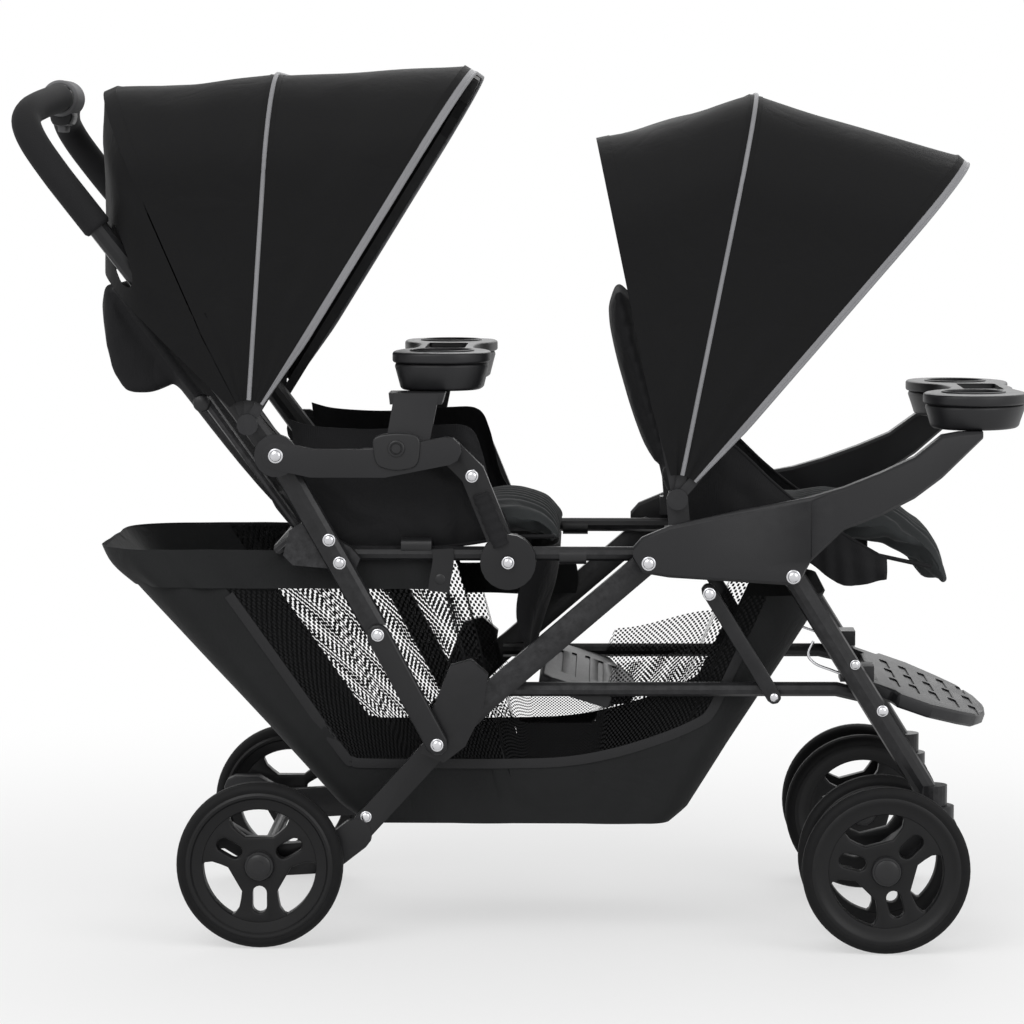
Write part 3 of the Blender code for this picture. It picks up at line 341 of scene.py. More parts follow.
@dataclass(frozen=True)
class Finish:
    """One finish of the stroller, with the values that all finishes share."""

    name: str
    colour: tuple[float, float, float]
    worn: tuple[float, float, float]
    roughness: float
    slot: Slot
    metallic: float = 0.0
    coat: float = 0.0
    sheen: float = 0.0
    bump: float = 0.2
    specular: float = 0.35
    uses_uv: bool = False

    def material(self) -> bpy.types.Material:
        """The material, built on first use.

        Returns:
            The Blender material.
        """
        found = bpy.data.materials.get(self.name)
        if found:
            return found
        made = bpy.data.materials.new(self.name)
        made.use_nodes = True
        graph = Graph(made.node_tree)
        shader = made.node_tree.nodes["Principled BSDF"]
        shader.inputs["Metallic"].default_value = self.metallic
        shader.inputs["Coat Weight"].default_value = self.coat
        shader.inputs["Sheen Weight"].default_value = self.sheen
        shader.inputs["Sheen Roughness"].default_value = 0.4
        shader.inputs["Specular IOR Level"].default_value = self.specular
        place = graph.add("ShaderNodeTexCoord")
        vector = place.outputs["UV" if self.uses_uv else "Object"]
        self.dress(graph, shader, vector, place.outputs["Object"])
        return made

    def dress(self, graph: Graph, shader: bpy.types.Node, vector: object, where: object) -> None:
        """Adds the finish's own nodes.

        Args:
            graph: The material's graph.
            shader: Its Principled shader.
            vector: Coordinates of the surface pattern.
            where: Object coordinates.
        """
        raise NotImplementedError

    def raise_grain(self, graph: Graph, shader: bpy.types.Node, height: object, distance: float) -> None:
        """Feeds a height to the shader's normal.

        Args:
            graph: The material's graph.
            shader: Its Principled shader.
            height: The height's socket.
            distance: How deep it is, in metres.
        """
        bump = graph.add("ShaderNodeBump", Strength=self.bump, Distance=distance, Height=height)
        graph.feed(shader.inputs["Normal"], bump.outputs[0])

    def shade(
        self, graph: Graph, shader: bpy.types.Node, where: object, slow: object, wear: float, dust: float
    ) -> None:
        """Colours the surface with slow change, edge wear and dust.

        Args:
            graph: The material's graph.
            shader: Its Principled shader.
            where: Object coordinates.
            slow: A socket with a slow change from 0 to 1.
            wear: How much wear shows.
            dust: How much dust shows.
        """
        dark = tuple(part * 0.72 for part in self.colour) + (1.0,)
        light = tuple(part * 1.3 for part in self.colour) + (1.0,)
        base = graph.mix(slow, dark, light)
        worn = Groups.use(graph, "wear", Vector=where, Amount=wear)
        edged = graph.mix(worn.outputs[0], base, self.worn + (1.0,))
        settled = Groups.use(graph, "dust", Vector=where, Amount=dust)
        final = graph.mix(settled.outputs[0], edged, DUST_COLOUR)
        graph.feed(shader.inputs["Base Color"], final)
        spread = graph.math("MULTIPLY_ADD", slow, 0.16, self.roughness - 0.08)
        graph.feed(shader.inputs["Roughness"], spread)


@dataclass(frozen=True)
class Moulded(Finish):
    """Moulded or painted hard surfaces."""

    fineness: float = 900.0
    wear: float = 0.35

    def dress(self, graph: Graph, shader: bpy.types.Node, vector: object, where: object) -> None:
        """Adds the moulded grain, wear and dust."""
        grain = Groups.use(graph, "grain", Vector=vector, Fineness=self.fineness)
        self.shade(graph, shader, where, grain.outputs["Gloss"], self.wear, 0.05)
        self.raise_grain(graph, shader, grain.outputs["Height"], 0.0003)


@dataclass(frozen=True)
class Woven(Finish):
    """Woven cloth."""

    threads: float = 900.0
    crease: float = 0.004

    def dress(self, graph: Graph, shader: bpy.types.Node, vector: object, where: object) -> None:
        """Adds the weave, fine creases and dust."""
        weave = Groups.use(graph, "weave", Vector=vector, Threads=self.threads)
        self.shade(graph, shader, where, weave.outputs["Shade"], 0.05, 0.02)
        fold = graph.add("ShaderNodeTexNoise", Vector=where, Scale=16.0, Detail=4.0, Distortion=0.8)
        ridge = graph.math("ABSOLUTE", graph.math("MULTIPLY_ADD", fold.outputs[0], 2.0, -1.0))
        fine = graph.math("MULTIPLY", weave.outputs["Height"], 0.05)
        self.raise_grain(graph, shader, graph.math("ADD", ridge, fine), self.crease)


@dataclass(frozen=True)
class Net(Finish):
    """See-through knitted net."""

    pitch: float = 0.0060
    yarn: float = 0.44

    def dress(self, graph: Graph, shader: bpy.types.Node, vector: object, where: object) -> None:
        """Adds the net's holes and its rounded yarns."""
        net = Groups.use(graph, "net", Vector=vector, Pitch=self.pitch, Yarn=self.yarn)
        weave = Groups.use(graph, "weave", Vector=vector, Threads=2400.0)
        self.shade(graph, shader, where, weave.outputs["Shade"], 0.0, 0.02)
        graph.feed(shader.inputs["Alpha"], net.outputs["Yarn"])
        self.raise_grain(graph, shader, net.outputs["Height"], 0.0008)


SATIN_STEEL = Moulded(
    "satin_black_steel", (0.012, 0.012, 0.013), (0.10, 0.10, 0.105), 0.40, Slot.STEEL,
    metallic=0.2, coat=0.05, specular=0.3, bump=0.06, fineness=1400.0, wear=0.5,
)
BLACK_PLASTIC = Moulded(
    "grained_black_plastic", (0.0095, 0.0095, 0.0108), (0.05, 0.05, 0.053), 0.45, Slot.PLASTIC,
    bump=0.18, fineness=1100.0,
)
SMOOTH_PLASTIC = Moulded(
    "satin_black_plastic", (0.012, 0.012, 0.013), (0.05, 0.05, 0.053), 0.36, Slot.PLASTIC,
    bump=0.08, fineness=1500.0,
)
GREY_PLASTIC = Moulded(
    "grey_plastic", (0.13, 0.135, 0.14), (0.25, 0.25, 0.255), 0.42, Slot.GREY_PLASTIC,
    bump=0.12, fineness=1200.0,
)
GRIP_FOAM = Moulded(
    "grip_foam", (0.013, 0.013, 0.014), (0.04, 0.04, 0.042), 0.88, Slot.FOAM,
    sheen=0.03, specular=0.2, bump=0.55, fineness=650.0, wear=0.2,
)
TYRE_RUBBER = Moulded(
    "tyre_rubber", (0.007, 0.007, 0.0075), (0.03, 0.029, 0.028), 0.68, Slot.TYRE,
    specular=0.15, bump=0.3, fineness=500.0, wear=0.6,
)
RIM_PLASTIC = Moulded(
    "rim_plastic", (0.008, 0.008, 0.0085), (0.03, 0.03, 0.031), 0.42, Slot.TYRE,
    specular=0.22, bump=0.14, fineness=1000.0,
)
BRIGHT_STEEL = Moulded(
    "bright_rivet_steel", (0.62, 0.62, 0.64), (0.8, 0.8, 0.82), 0.24, Slot.STEEL,
    metallic=1.0, bump=0.05, fineness=1800.0, wear=0.3,
)
CANOPY_CLOTH = Woven(
    "black_canopy_cloth", (0.0058, 0.0058, 0.0062), (0.025, 0.025, 0.026), 0.70, Slot.CANOPY_CLOTH,
    sheen=0.02, bump=0.30, specular=0.13, uses_uv=True, threads=1100.0, crease=0.0035,
)
BODY_CLOTH = Woven(
    "black_body_cloth", (0.010, 0.010, 0.011), (0.04, 0.04, 0.041), 0.8, Slot.CANOPY_CLOTH,
    sheen=0.03, bump=0.42, specular=0.24, threads=900.0, crease=0.006,
)
BASKET_CLOTH = Woven(
    "black_basket_cloth", (0.017, 0.0175, 0.018), (0.05, 0.05, 0.051), 0.82, Slot.MESH_CLOTH,
    sheen=0.04, bump=0.35, specular=0.14, uses_uv=True, threads=600.0, crease=0.005,
)
PAD_CLOTH = Woven(
    "charcoal_pad_cloth", (0.036, 0.039, 0.040), (0.07, 0.07, 0.07), 0.86, Slot.SEAT_CLOTH,
    sheen=0.08, bump=0.45, specular=0.2, threads=700.0, crease=0.004,
)
PIPING_CLOTH = Woven(
    "grey_piping_cloth", (0.22, 0.22, 0.23), (0.4, 0.4, 0.4), 0.6, Slot.CANOPY_CLOTH,
    sheen=0.2, bump=0.3, threads=1200.0, crease=0.001,
)
WEBBING = Woven(
    "black_webbing", (0.012, 0.012, 0.013), (0.05, 0.05, 0.05), 0.7, Slot.MESH_CLOTH,
    bump=0.6, threads=420.0, crease=0.001,
)
GREY_WEBBING = Woven(
    "grey_webbing", (0.20, 0.20, 0.21), (0.35, 0.35, 0.35), 0.7, Slot.MESH_CLOTH,
    bump=0.6, threads=420.0, crease=0.001,
)
BASKET_NET = Net(
    "black_basket_net", (0.012, 0.012, 0.0125), (0.03, 0.03, 0.03), 0.8, Slot.MESH_CLOTH,
    bump=0.5, specular=0.1, uses_uv=True,
)


def settle(bm: bmesh.types.BMesh) -> None:
    """Welds a closed form's doubles and turns its faces outwards."""
    bmesh.ops.remove_doubles(bm, verts=bm.verts, dist=0.00003)
    bmesh.ops.recalc_face_normals(bm, faces=bm.faces)


def smooth_faces(mesh: bpy.types.Mesh, angle: float = 38.0) -> None:
    """Shades a mesh smooth, but for edges sharper than an angle in degrees."""
    mesh.shade_smooth()
    mesh.set_sharp_from_angle(angle=math.radians(angle))


def mesh_of(name: str, bm: bmesh.types.BMesh) -> bpy.types.Mesh:
    """Turns a bmesh into a mesh and frees it.

    Args:
        name: The mesh's name.
        bm: The form.

    Returns:
        The mesh.
    """
    mesh = bpy.data.meshes.new(name)
    bm.to_mesh(mesh)
    bm.free()
    return mesh


def linked(name: str, data: bpy.types.ID) -> bpy.types.Object:
    """Makes an object and puts it in the scene.

    Args:
        name: Its name.
        data: Its mesh, camera or lamp.

    Returns:
        The object.
    """
    obj = bpy.data.objects.new(name, data)
    bpy.context.scene.collection.objects.link(obj)
    return obj


def piece(
    name: str,
    bm: bmesh.types.BMesh,
    finish: Finish,
    body: str | None,
    stands_for: Sequence[str] = (),
    angle: float = 38.0,
) -> bpy.types.Object:
    """Turns a bmesh into a finished piece that rides on a body.

    Args:
        name: The piece's name.
        bm: Its form, which is freed.
        finish: Its finish.
        body: The body that it moves with, or None to leave it unattached here.
        stands_for: CAD nodes that it replaces.
        angle: Edges sharper than this stay sharp, in degrees.

    Returns:
        The new object.
    """
    mesh = mesh_of(name, bm)
    smooth_faces(mesh, angle)
    obj = linked(name, mesh)
    mesh.materials.append(finish.material())
    if body is not None:
        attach(obj, body)
    if stands_for:
        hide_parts(*stands_for)
    return obj


def applied(obj: bpy.types.Object) -> bpy.types.Object:
    """Applies an object's modifiers to its mesh.

    Args:
        obj: The object.

    Returns:
        The same object.
    """
    bpy.context.view_layer.update()
    graph = bpy.context.evaluated_depsgraph_get()
    mesh = bpy.data.meshes.new_from_object(obj.evaluated_get(graph))
    obj.modifiers.clear()
    obj.data = mesh
    smooth_faces(mesh, 50.0)
    return obj


def round_line(points: Outline, closed: bool = True, each: int = 5) -> list[tuple[float, float]]:
    """A smooth line through side-view or plan points.

    Args:
        points: The points in order.
        closed: Whether the line returns to its start.
        each: Steps between two points.

    Returns:
        The denser line.
    """
    path = [Vector(point) for point in points]
    count = len(path)
    dense = []
    for index in range(count if closed else count - 1):
        if closed:
            four = [path[(index + step) % count] for step in (-1, 0, 1, 2)]
        else:
            four = [path[max(0, min(count - 1, index + step))] for step in (-1, 0, 1, 2)]
        for step in range(each):
            share = step / each
            dense.append(spline_point(four, share))
    if not closed:
        dense.append(path[-1].copy())
    return [tuple(point) for point in dense]


def spline_point(four: Sequence[Vector], share: float) -> Vector:
    """A point between the middle two of four points, on a smooth curve.

    Args:
        four: The point before, the two ends and the point after.
        share: How far along, from 0 to 1.

    Returns:
        The point.
    """
    before, start, end, after = four
    square, cube = share * share, share * share * share
    return 0.5 * (
        2 * start
        + (end - before) * share
        + (2 * before - 5 * start + 4 * end - after) * square
        + (3 * start - before - 3 * end + after) * cube
    )


def dense_path(points: Sequence[Sequence[float]], each: int = 6) -> list[Vector]:
    """A smooth open path through points in space.

    Args:
        points: The points in order.
        each: Steps between two points.

    Returns:
        The denser path.
    """
    path = [Vector(point) for point in points]
    last = len(path) - 1
    dense = []
    for index in range(last):
        four = [path[max(0, min(last, index + step))] for step in (-1, 0, 1, 2)]
        dense += [spline_point(four, step / each) for step in range(each)]
    dense.append(path[-1].copy())
    return dense


def side_path(points: Outline, across: float, each: int) -> list[Vector]:
    """A smooth path at one distance from the middle, from side-view points on the station datum.

    Args:
        points: Stations and heights in order.
        across: Its place across the stroller.
        each: Steps between two points.

    Returns:
        The denser path.
    """
    return dense_path([(x - CENTRE_X, across, z) for x, z in points], each)


def on_line(line: Sequence[Vector], share: float) -> Vector:
    """A place on a line of points, from its share of the way along.

    Args:
        line: The points in order.
        share: From 0 to 1.

    Returns:
        The place.
    """
    index = share * (len(line) - 1)
    base = min(len(line) - 2, int(index))
    return line[base].lerp(line[base + 1], index - base)


def mirrored(profile: Outline) -> list[tuple[float, float]]:
    """A profile followed by its mirror image on the other side of the middle."""
    return [*profile, *((reach, -offset) for reach, offset in reversed(profile))]


def plate(
    outline: Outline,
    low: float,
    high: float,
    edge: float = 0.0015,
    holes: Sequence[Outline] = (),
    facing: Facing = Facing.SIDE,
    segments: int = 2,
) -> bmesh.types.BMesh:
    """A flat form with rounded edges, from a closed outline and its holes.

    Args:
        outline: Points of the outline.
        low: Where its thickness starts, along Y or Z.
        high: Where its thickness ends.
        edge: Radius of the rounded edges.
        holes: Outlines of holes through it.
        facing: Whether it stands in the side view or lies in plan.
        segments: Facets of a rounded edge.

    Returns:
        The form.
    """
    bm = bmesh.new()
    for ring in (outline, *holes):
        around = [bm.verts.new(in_plane(point, low, facing)) for point in ring]
        for first, second in zip(around, around[1:] + around[:1]):
            bm.edges.new((first, second))
    bmesh.ops.triangle_fill(bm, use_beauty=True, use_dissolve=False, edges=bm.edges)
    up = Vector((0.0, high - low, 0.0)) if facing is Facing.SIDE else Vector((0.0, 0.0, high - low))
    grown = bmesh.ops.extrude_face_region(bm, geom=bm.faces[:])
    moved = [item for item in grown["geom"] if isinstance(item, bmesh.types.BMVert)]
    bmesh.ops.translate(bm, vec=up, verts=moved)
    bmesh.ops.recalc_face_normals(bm, faces=bm.faces)
    bmesh.ops.dissolve_limit(bm, angle_limit=math.radians(0.5), verts=bm.verts, edges=bm.edges)
    if edge:
        round_edges(bm, edge, segments)
    return bm


def in_plane(point: Sequence[float], level: float, facing: Facing) -> Vector:
    """Places a flat point in space at a level along Y or Z."""
    if facing is Facing.SIDE:
        return Vector((point[0], level, point[1]))
    return Vector((point[0], point[1], level))


def round_edges(bm: bmesh.types.BMesh, radius: float, segments: int = 2, over: float = 40.0) -> None:
    """Rounds the sharp edges of a form.

    Args:
        bm: The form.
        radius: How wide the rounding is.
        segments: Its facets.
        over: Edges sharper than this many degrees are rounded.
    """
    sharp = [
        line for line in bm.edges
        if len(line.link_faces) == 2 and line.calc_face_angle(0.0) > math.radians(over)
    ]
    bmesh.ops.bevel(
        bm, geom=sharp, offset=radius, offset_type="OFFSET", segments=segments, profile=0.5,
        affect="EDGES", clamp_overlap=True, material=-1,
    )


def spun(profile: Outline, centre: Sequence[float], steps: int = 48, axis: str = "Y") -> bmesh.types.BMesh:
    """A form turned about an axis, from (radius, offset) points.

    Args:
        profile: The profile, closed by the turn where its ends lie on the axis, or a closed ring.
        centre: Where the axis passes.
        steps: Facets of the turn.
        axis: The axis, Y or Z.

    Returns:
        The form.
    """
    bm = bmesh.new()
    turned_y = axis == "Y"
    line = [
        bm.verts.new((radius, offset, 0.0) if turned_y else (radius, 0.0, offset))
        for radius, offset in profile
    ]
    edges = [bm.edges.new(pair) for pair in zip(line, line[1:])]
    if profile[0][0] > 1e-6 and profile[-1][0] > 1e-6:
        edges.append(bm.edges.new((line[-1], line[0])))
    around = (0.0, 1.0, 0.0) if turned_y else (0.0, 0.0, 1.0)
    bmesh.ops.spin(
        bm, geom=line + edges, cent=(0.0, 0.0, 0.0), axis=around, angle=2 * math.pi,
        steps=steps, use_merge=True, use_duplicate=False,
    )
    settle(bm)
    bmesh.ops.translate(bm, vec=centre, verts=bm.verts)
    return bm


def swept(
    path: Sequence[Vector],
    half_width: Callable[[float], float],
    half_height: Callable[[float], float],
    side: Vector = Vector((0.0, 1.0, 0.0)),
    facets: int = 20,
    squareness: float = 0.0,
    caps: bool = True,
) -> bmesh.types.BMesh:
    """A bar or tube drawn along a path, its section free to change.

    Args:
        path: Points of the path.
        half_width: Half size along the side direction, at a share of the path.
        half_height: Half size square to it.
        side: The direction that the width keeps to.
        facets: Points round the section.
        squareness: 0 for an oval section, towards 1 for a rounded rectangle.
        caps: Whether the ends are closed.

    Returns:
        The form.
    """
    bm = bmesh.new()
    ring = bmesh.ops.create_circle(bm, segments=facets, radius=1.0)["verts"]
    shape = [vert.co.copy() for vert in ring]
    last = len(path) - 1
    lines = list({line for vert in ring for line in vert.link_edges})
    for index, point in enumerate(path):
        if index:
            grown = bmesh.ops.extrude_edge_only(bm, edges=lines)["geom"]
            lines = [item for item in grown if isinstance(item, bmesh.types.BMEdge)]
            fresh = [item for item in grown if isinstance(item, bmesh.types.BMVert)]
            order = {tuple(round(part, 5) for part in vert.co): vert for vert in fresh}
            ring = [order[tuple(round(part, 5) for part in old)] for old in previous]
        along = (path[min(last, index + 1)] - path[max(0, index - 1)]).normalized()
        across = (side - along * along.dot(side)).normalized()
        upward = along.cross(across)
        share = index / last
        for vert, flat in zip(ring, shape):
            pull = 1.0 + squareness * 0.38 * math.sin(2 * math.atan2(flat.y, flat.x)) ** 2
            sideways = across * flat.x * pull * half_width(share)
            vert.co = point + sideways + upward * flat.y * pull * half_height(share)
        previous = [vert.co.copy() for vert in ring]
    if caps:
        bmesh.ops.holes_fill(bm, edges=[line for line in bm.edges if line.is_boundary])
    bmesh.ops.recalc_face_normals(bm, faces=bm.faces)
    return bm


def tube(path: Sequence[Vector], radius: float, facets: int = 20) -> bmesh.types.BMesh:
    """A round tube along a path, its ends closed."""
    side = Vector((0.0, 1.0, 0.0))
    if abs((path[-1] - path[0]).normalized().y) > 0.8:
        side = Vector((0.0, 0.0, 1.0))
    return swept(path, lambda _: radius, lambda _: radius, side, facets)


def cloth_grid(
    columns: int, rows: int, place: Placing, size: tuple[float, float], wrap: bool = False
) -> bmesh.types.BMesh:
    """A sheet of cloth with even squares, set in place point by point, with its cut as its UV map.

    Args:
        columns: Squares along the first direction.
        rows: Squares along the second.
        place: Where a point of the cloth lies, from its two shares of the sheet.
        size: The sheet's size in metres, for its UV map.
        wrap: Whether its second direction closes on itself.

    Returns:
        The sheet.
    """
    bm = bmesh.new()
    bmesh.ops.create_grid(bm, x_segments=columns, y_segments=rows, size=1.0)
    layer = bm.loops.layers.uv.new("cut")
    for face in bm.faces:
        for loop in face.loops:
            flat = loop.vert.co
            loop[layer].uv = ((flat.x + 1) / 2 * size[0], (flat.y + 1) / 2 * size[1])
    for vert in bm.verts:
        vert.co = place((vert.co.x + 1) / 2, (vert.co.y + 1) / 2)
    if wrap:
        bmesh.ops.remove_doubles(bm, verts=bm.verts, dist=0.00002)
    return bm


def taut_area(first: Sequence[Vector], second: Sequence[Vector]) -> float:
    """The area that cloth is cut to between two edge lines, with no belly, crease or fold in it.

    Args:
        first: One edge line.
        second: The other, with the same count of points.

    Returns:
        The area in square metres.
    """
    pairs = list(zip(first, second))
    return sum(area_tri(a, b, c) + area_tri(b, d, c) for (a, b), (c, d) in zip(pairs, pairs[1:]))


def walled(obj: bpy.types.Object, thickness: float, body: str | None) -> bpy.types.Object:
    """Gives a sheet its wall for good, and lets it ride on a body.

    Args:
        obj: The sheet.
        thickness: The wall's thickness.
        body: The body, or None to leave it unattached here.

    Returns:
        The same object.
    """
    wall = obj.modifiers.new("wall", "SOLIDIFY")
    wall.thickness = thickness
    wall.offset = 0.0
    wall.use_even_offset = False
    applied(obj)
    if body is not None:
        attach(obj, body)
    return obj


def subdivide(obj: bpy.types.Object, levels: int = 1) -> None:
    """Smooths a piece, with Subdivision Surface."""
    finer = obj.modifiers.new("finer", "SUBSURF")
    finer.levels = levels
    finer.render_levels = levels


def softened(
    node: str,
    name: str,
    finish: Finish,
    body: str,
    radius: float,
    segments: int = 3,
    over: float = 32.0,
) -> bpy.types.Object:
    """A moulded copy of a CAD node, with its edges rounded, in place of it.

    Args:
        node: The CAD node.
        name: The new piece's name.
        finish: Its finish.
        body: The body that it rides on.
        radius: Radius of its edges.
        segments: Facets of a rounded edge.
        over: Edges sharper than this many degrees are rounded.

    Returns:
        The piece.
    """
    bm = bmesh.new()
    bm.from_mesh(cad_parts[node].data)
    bmesh.ops.remove_doubles(bm, verts=bm.verts, dist=0.00002)
    bmesh.ops.dissolve_limit(bm, angle_limit=math.radians(1.5), verts=bm.verts, edges=bm.edges)
    round_edges(bm, radius, segments, over)
    return piece(name, bm, finish, body, [node], 50.0)


def cut_away(obj: bpy.types.Object, cutter: bmesh.types.BMesh) -> bpy.types.Object:
    """Cuts a form out of a piece.

    Args:
        obj: The piece.
        cutter: What is cut away; it is freed.

    Returns:
        The piece.
    """
    tool = linked("cutter", mesh_of("cutter", cutter))
    change = obj.modifiers.new("cut", "BOOLEAN")
    change.operation = "DIFFERENCE"
    change.object = tool
    change.solver = "EXACT"
    applied(obj)
    bpy.data.objects.remove(tool, do_unlink=True)
    smooth_faces(obj.data)
    return obj


@dataclass
class Studio:
    """The camera at the photograph's angle, the soft lights and the pale floor."""

    eye: tuple[float, float, float] = (0.10027, -4.8515, 0.9538)
    pitch: float = -5.207
    yaw: float = -1.39
    lens: float = 134.94
    floor_colour: tuple[float, float, float] = (0.80, 0.80, 0.80)
    room_light: float = 0.55

    def build(self) -> None:
        """Makes the camera, the lights, the floor and the world."""
        self.camera()
        self.lamp("key", (-1.6, -2.6, 3.2), 2.6, 62.0)
        self.lamp("fill", (2.6, -2.2, 2.0), 2.2, 34.0)
        self.lamp("back", (0.4, 2.8, 2.6), 2.4, 40.0)
        self.floor()
        self.world()
        bpy.context.scene.view_settings.view_transform = "Standard"

    def camera(self) -> None:
        """Places the camera at the photograph's angle."""
        data = bpy.data.cameras.new("camera")
        data.lens = self.lens
        data.sensor_width = 36.0
        data.clip_start, data.clip_end = 0.1, 50.0
        obj = linked("camera", data)
        obj.location = self.eye
        obj.rotation_euler = (math.radians(90 + self.pitch), 0.0, math.radians(-self.yaw))
        bpy.context.scene.camera = obj

    def lamp(self, name: str, place: Sequence[float], size: float, power: float) -> None:
        """Hangs one soft square lamp that faces the stroller.

        Args:
            name: The lamp's name.
            place: Where it hangs.
            size: Its width.
            power: Its power in watts.
        """
        data = bpy.data.lights.new(name, "AREA")
        data.size = size
        data.energy = power
        obj = linked(name, data)
        obj.location = place
        aim = Vector((0.0, 0.0, 0.5)) - Vector(place)
        obj.rotation_euler = aim.to_track_quat("-Z", "Y").to_euler()

    def floor(self) -> None:
        """Lays the floor, which shows white to the camera and keeps the shadow."""
        bm = bmesh.new()
        bmesh.ops.create_grid(bm, x_segments=1, y_segments=1, size=14.0)
        mesh = mesh_of("floor", bm)
        obj = linked("floor", mesh)
        made = bpy.data.materials.new("floor")
        made.use_nodes = True
        shader = made.node_tree.nodes["Principled BSDF"]
        shader.inputs["Base Color"].default_value = (*self.floor_colour, 1.0)
        shader.inputs["Roughness"].default_value = 0.9
        self.brighten(made, shader)
        mesh.materials.append(made)

    def brighten(self, made: bpy.types.Material, shader: bpy.types.Node) -> None:
        """Lets the floor run out into the white background, with its shadow kept near the stroller.

        Args:
            made: The floor's material.
            shader: Its Principled shader.
        """
        graph = Graph(made.node_tree)
        seen = graph.seen()
        place = graph.add("ShaderNodeTexCoord")
        reach = graph.add("ShaderNodeVectorMath", operation="LENGTH")
        graph.feed(reach.inputs[0], place.outputs["Object"])
        far = graph.add("ShaderNodeMapRange", interpolation_type="SMOOTHSTEP")
        graph.feed(far.inputs["Value"], reach.outputs["Value"])
        for socket, value in (("From Min", 0.5), ("From Max", 1.9), ("To Min", 0.55), ("To Max", 1.0)):
            far.inputs[socket].default_value = value
        white = graph.add("ShaderNodeEmission")
        white.inputs["Color"].default_value = (1.0, 1.0, 1.0, 1.0)
        blend = graph.add("ShaderNodeMixShader")
        graph.feed(blend.inputs[0], graph.math("MULTIPLY", seen, far.outputs["Result"]))
        graph.feed(blend.inputs[1], shader.outputs[0])
        graph.feed(blend.inputs[2], white.outputs[0])
        graph.feed(made.node_tree.nodes["Material Output"].inputs["Surface"], blend.outputs[0])

    def world(self) -> None:
        """Lights the room evenly and shows a white background."""
        made = bpy.data.worlds.new("room")
        made.use_nodes = True
        bpy.context.scene.world = made
        tree = made.node_tree
        graph = Graph(tree)
        back = tree.nodes["Background"]
        back.inputs["Color"].default_value = (1.0, 1.0, 1.0, 1.0)
        strength = graph.math("MULTIPLY_ADD", graph.seen(), 1.0 - self.room_light, self.room_light)
        tree.links.new(strength, back.inputs["Strength"])


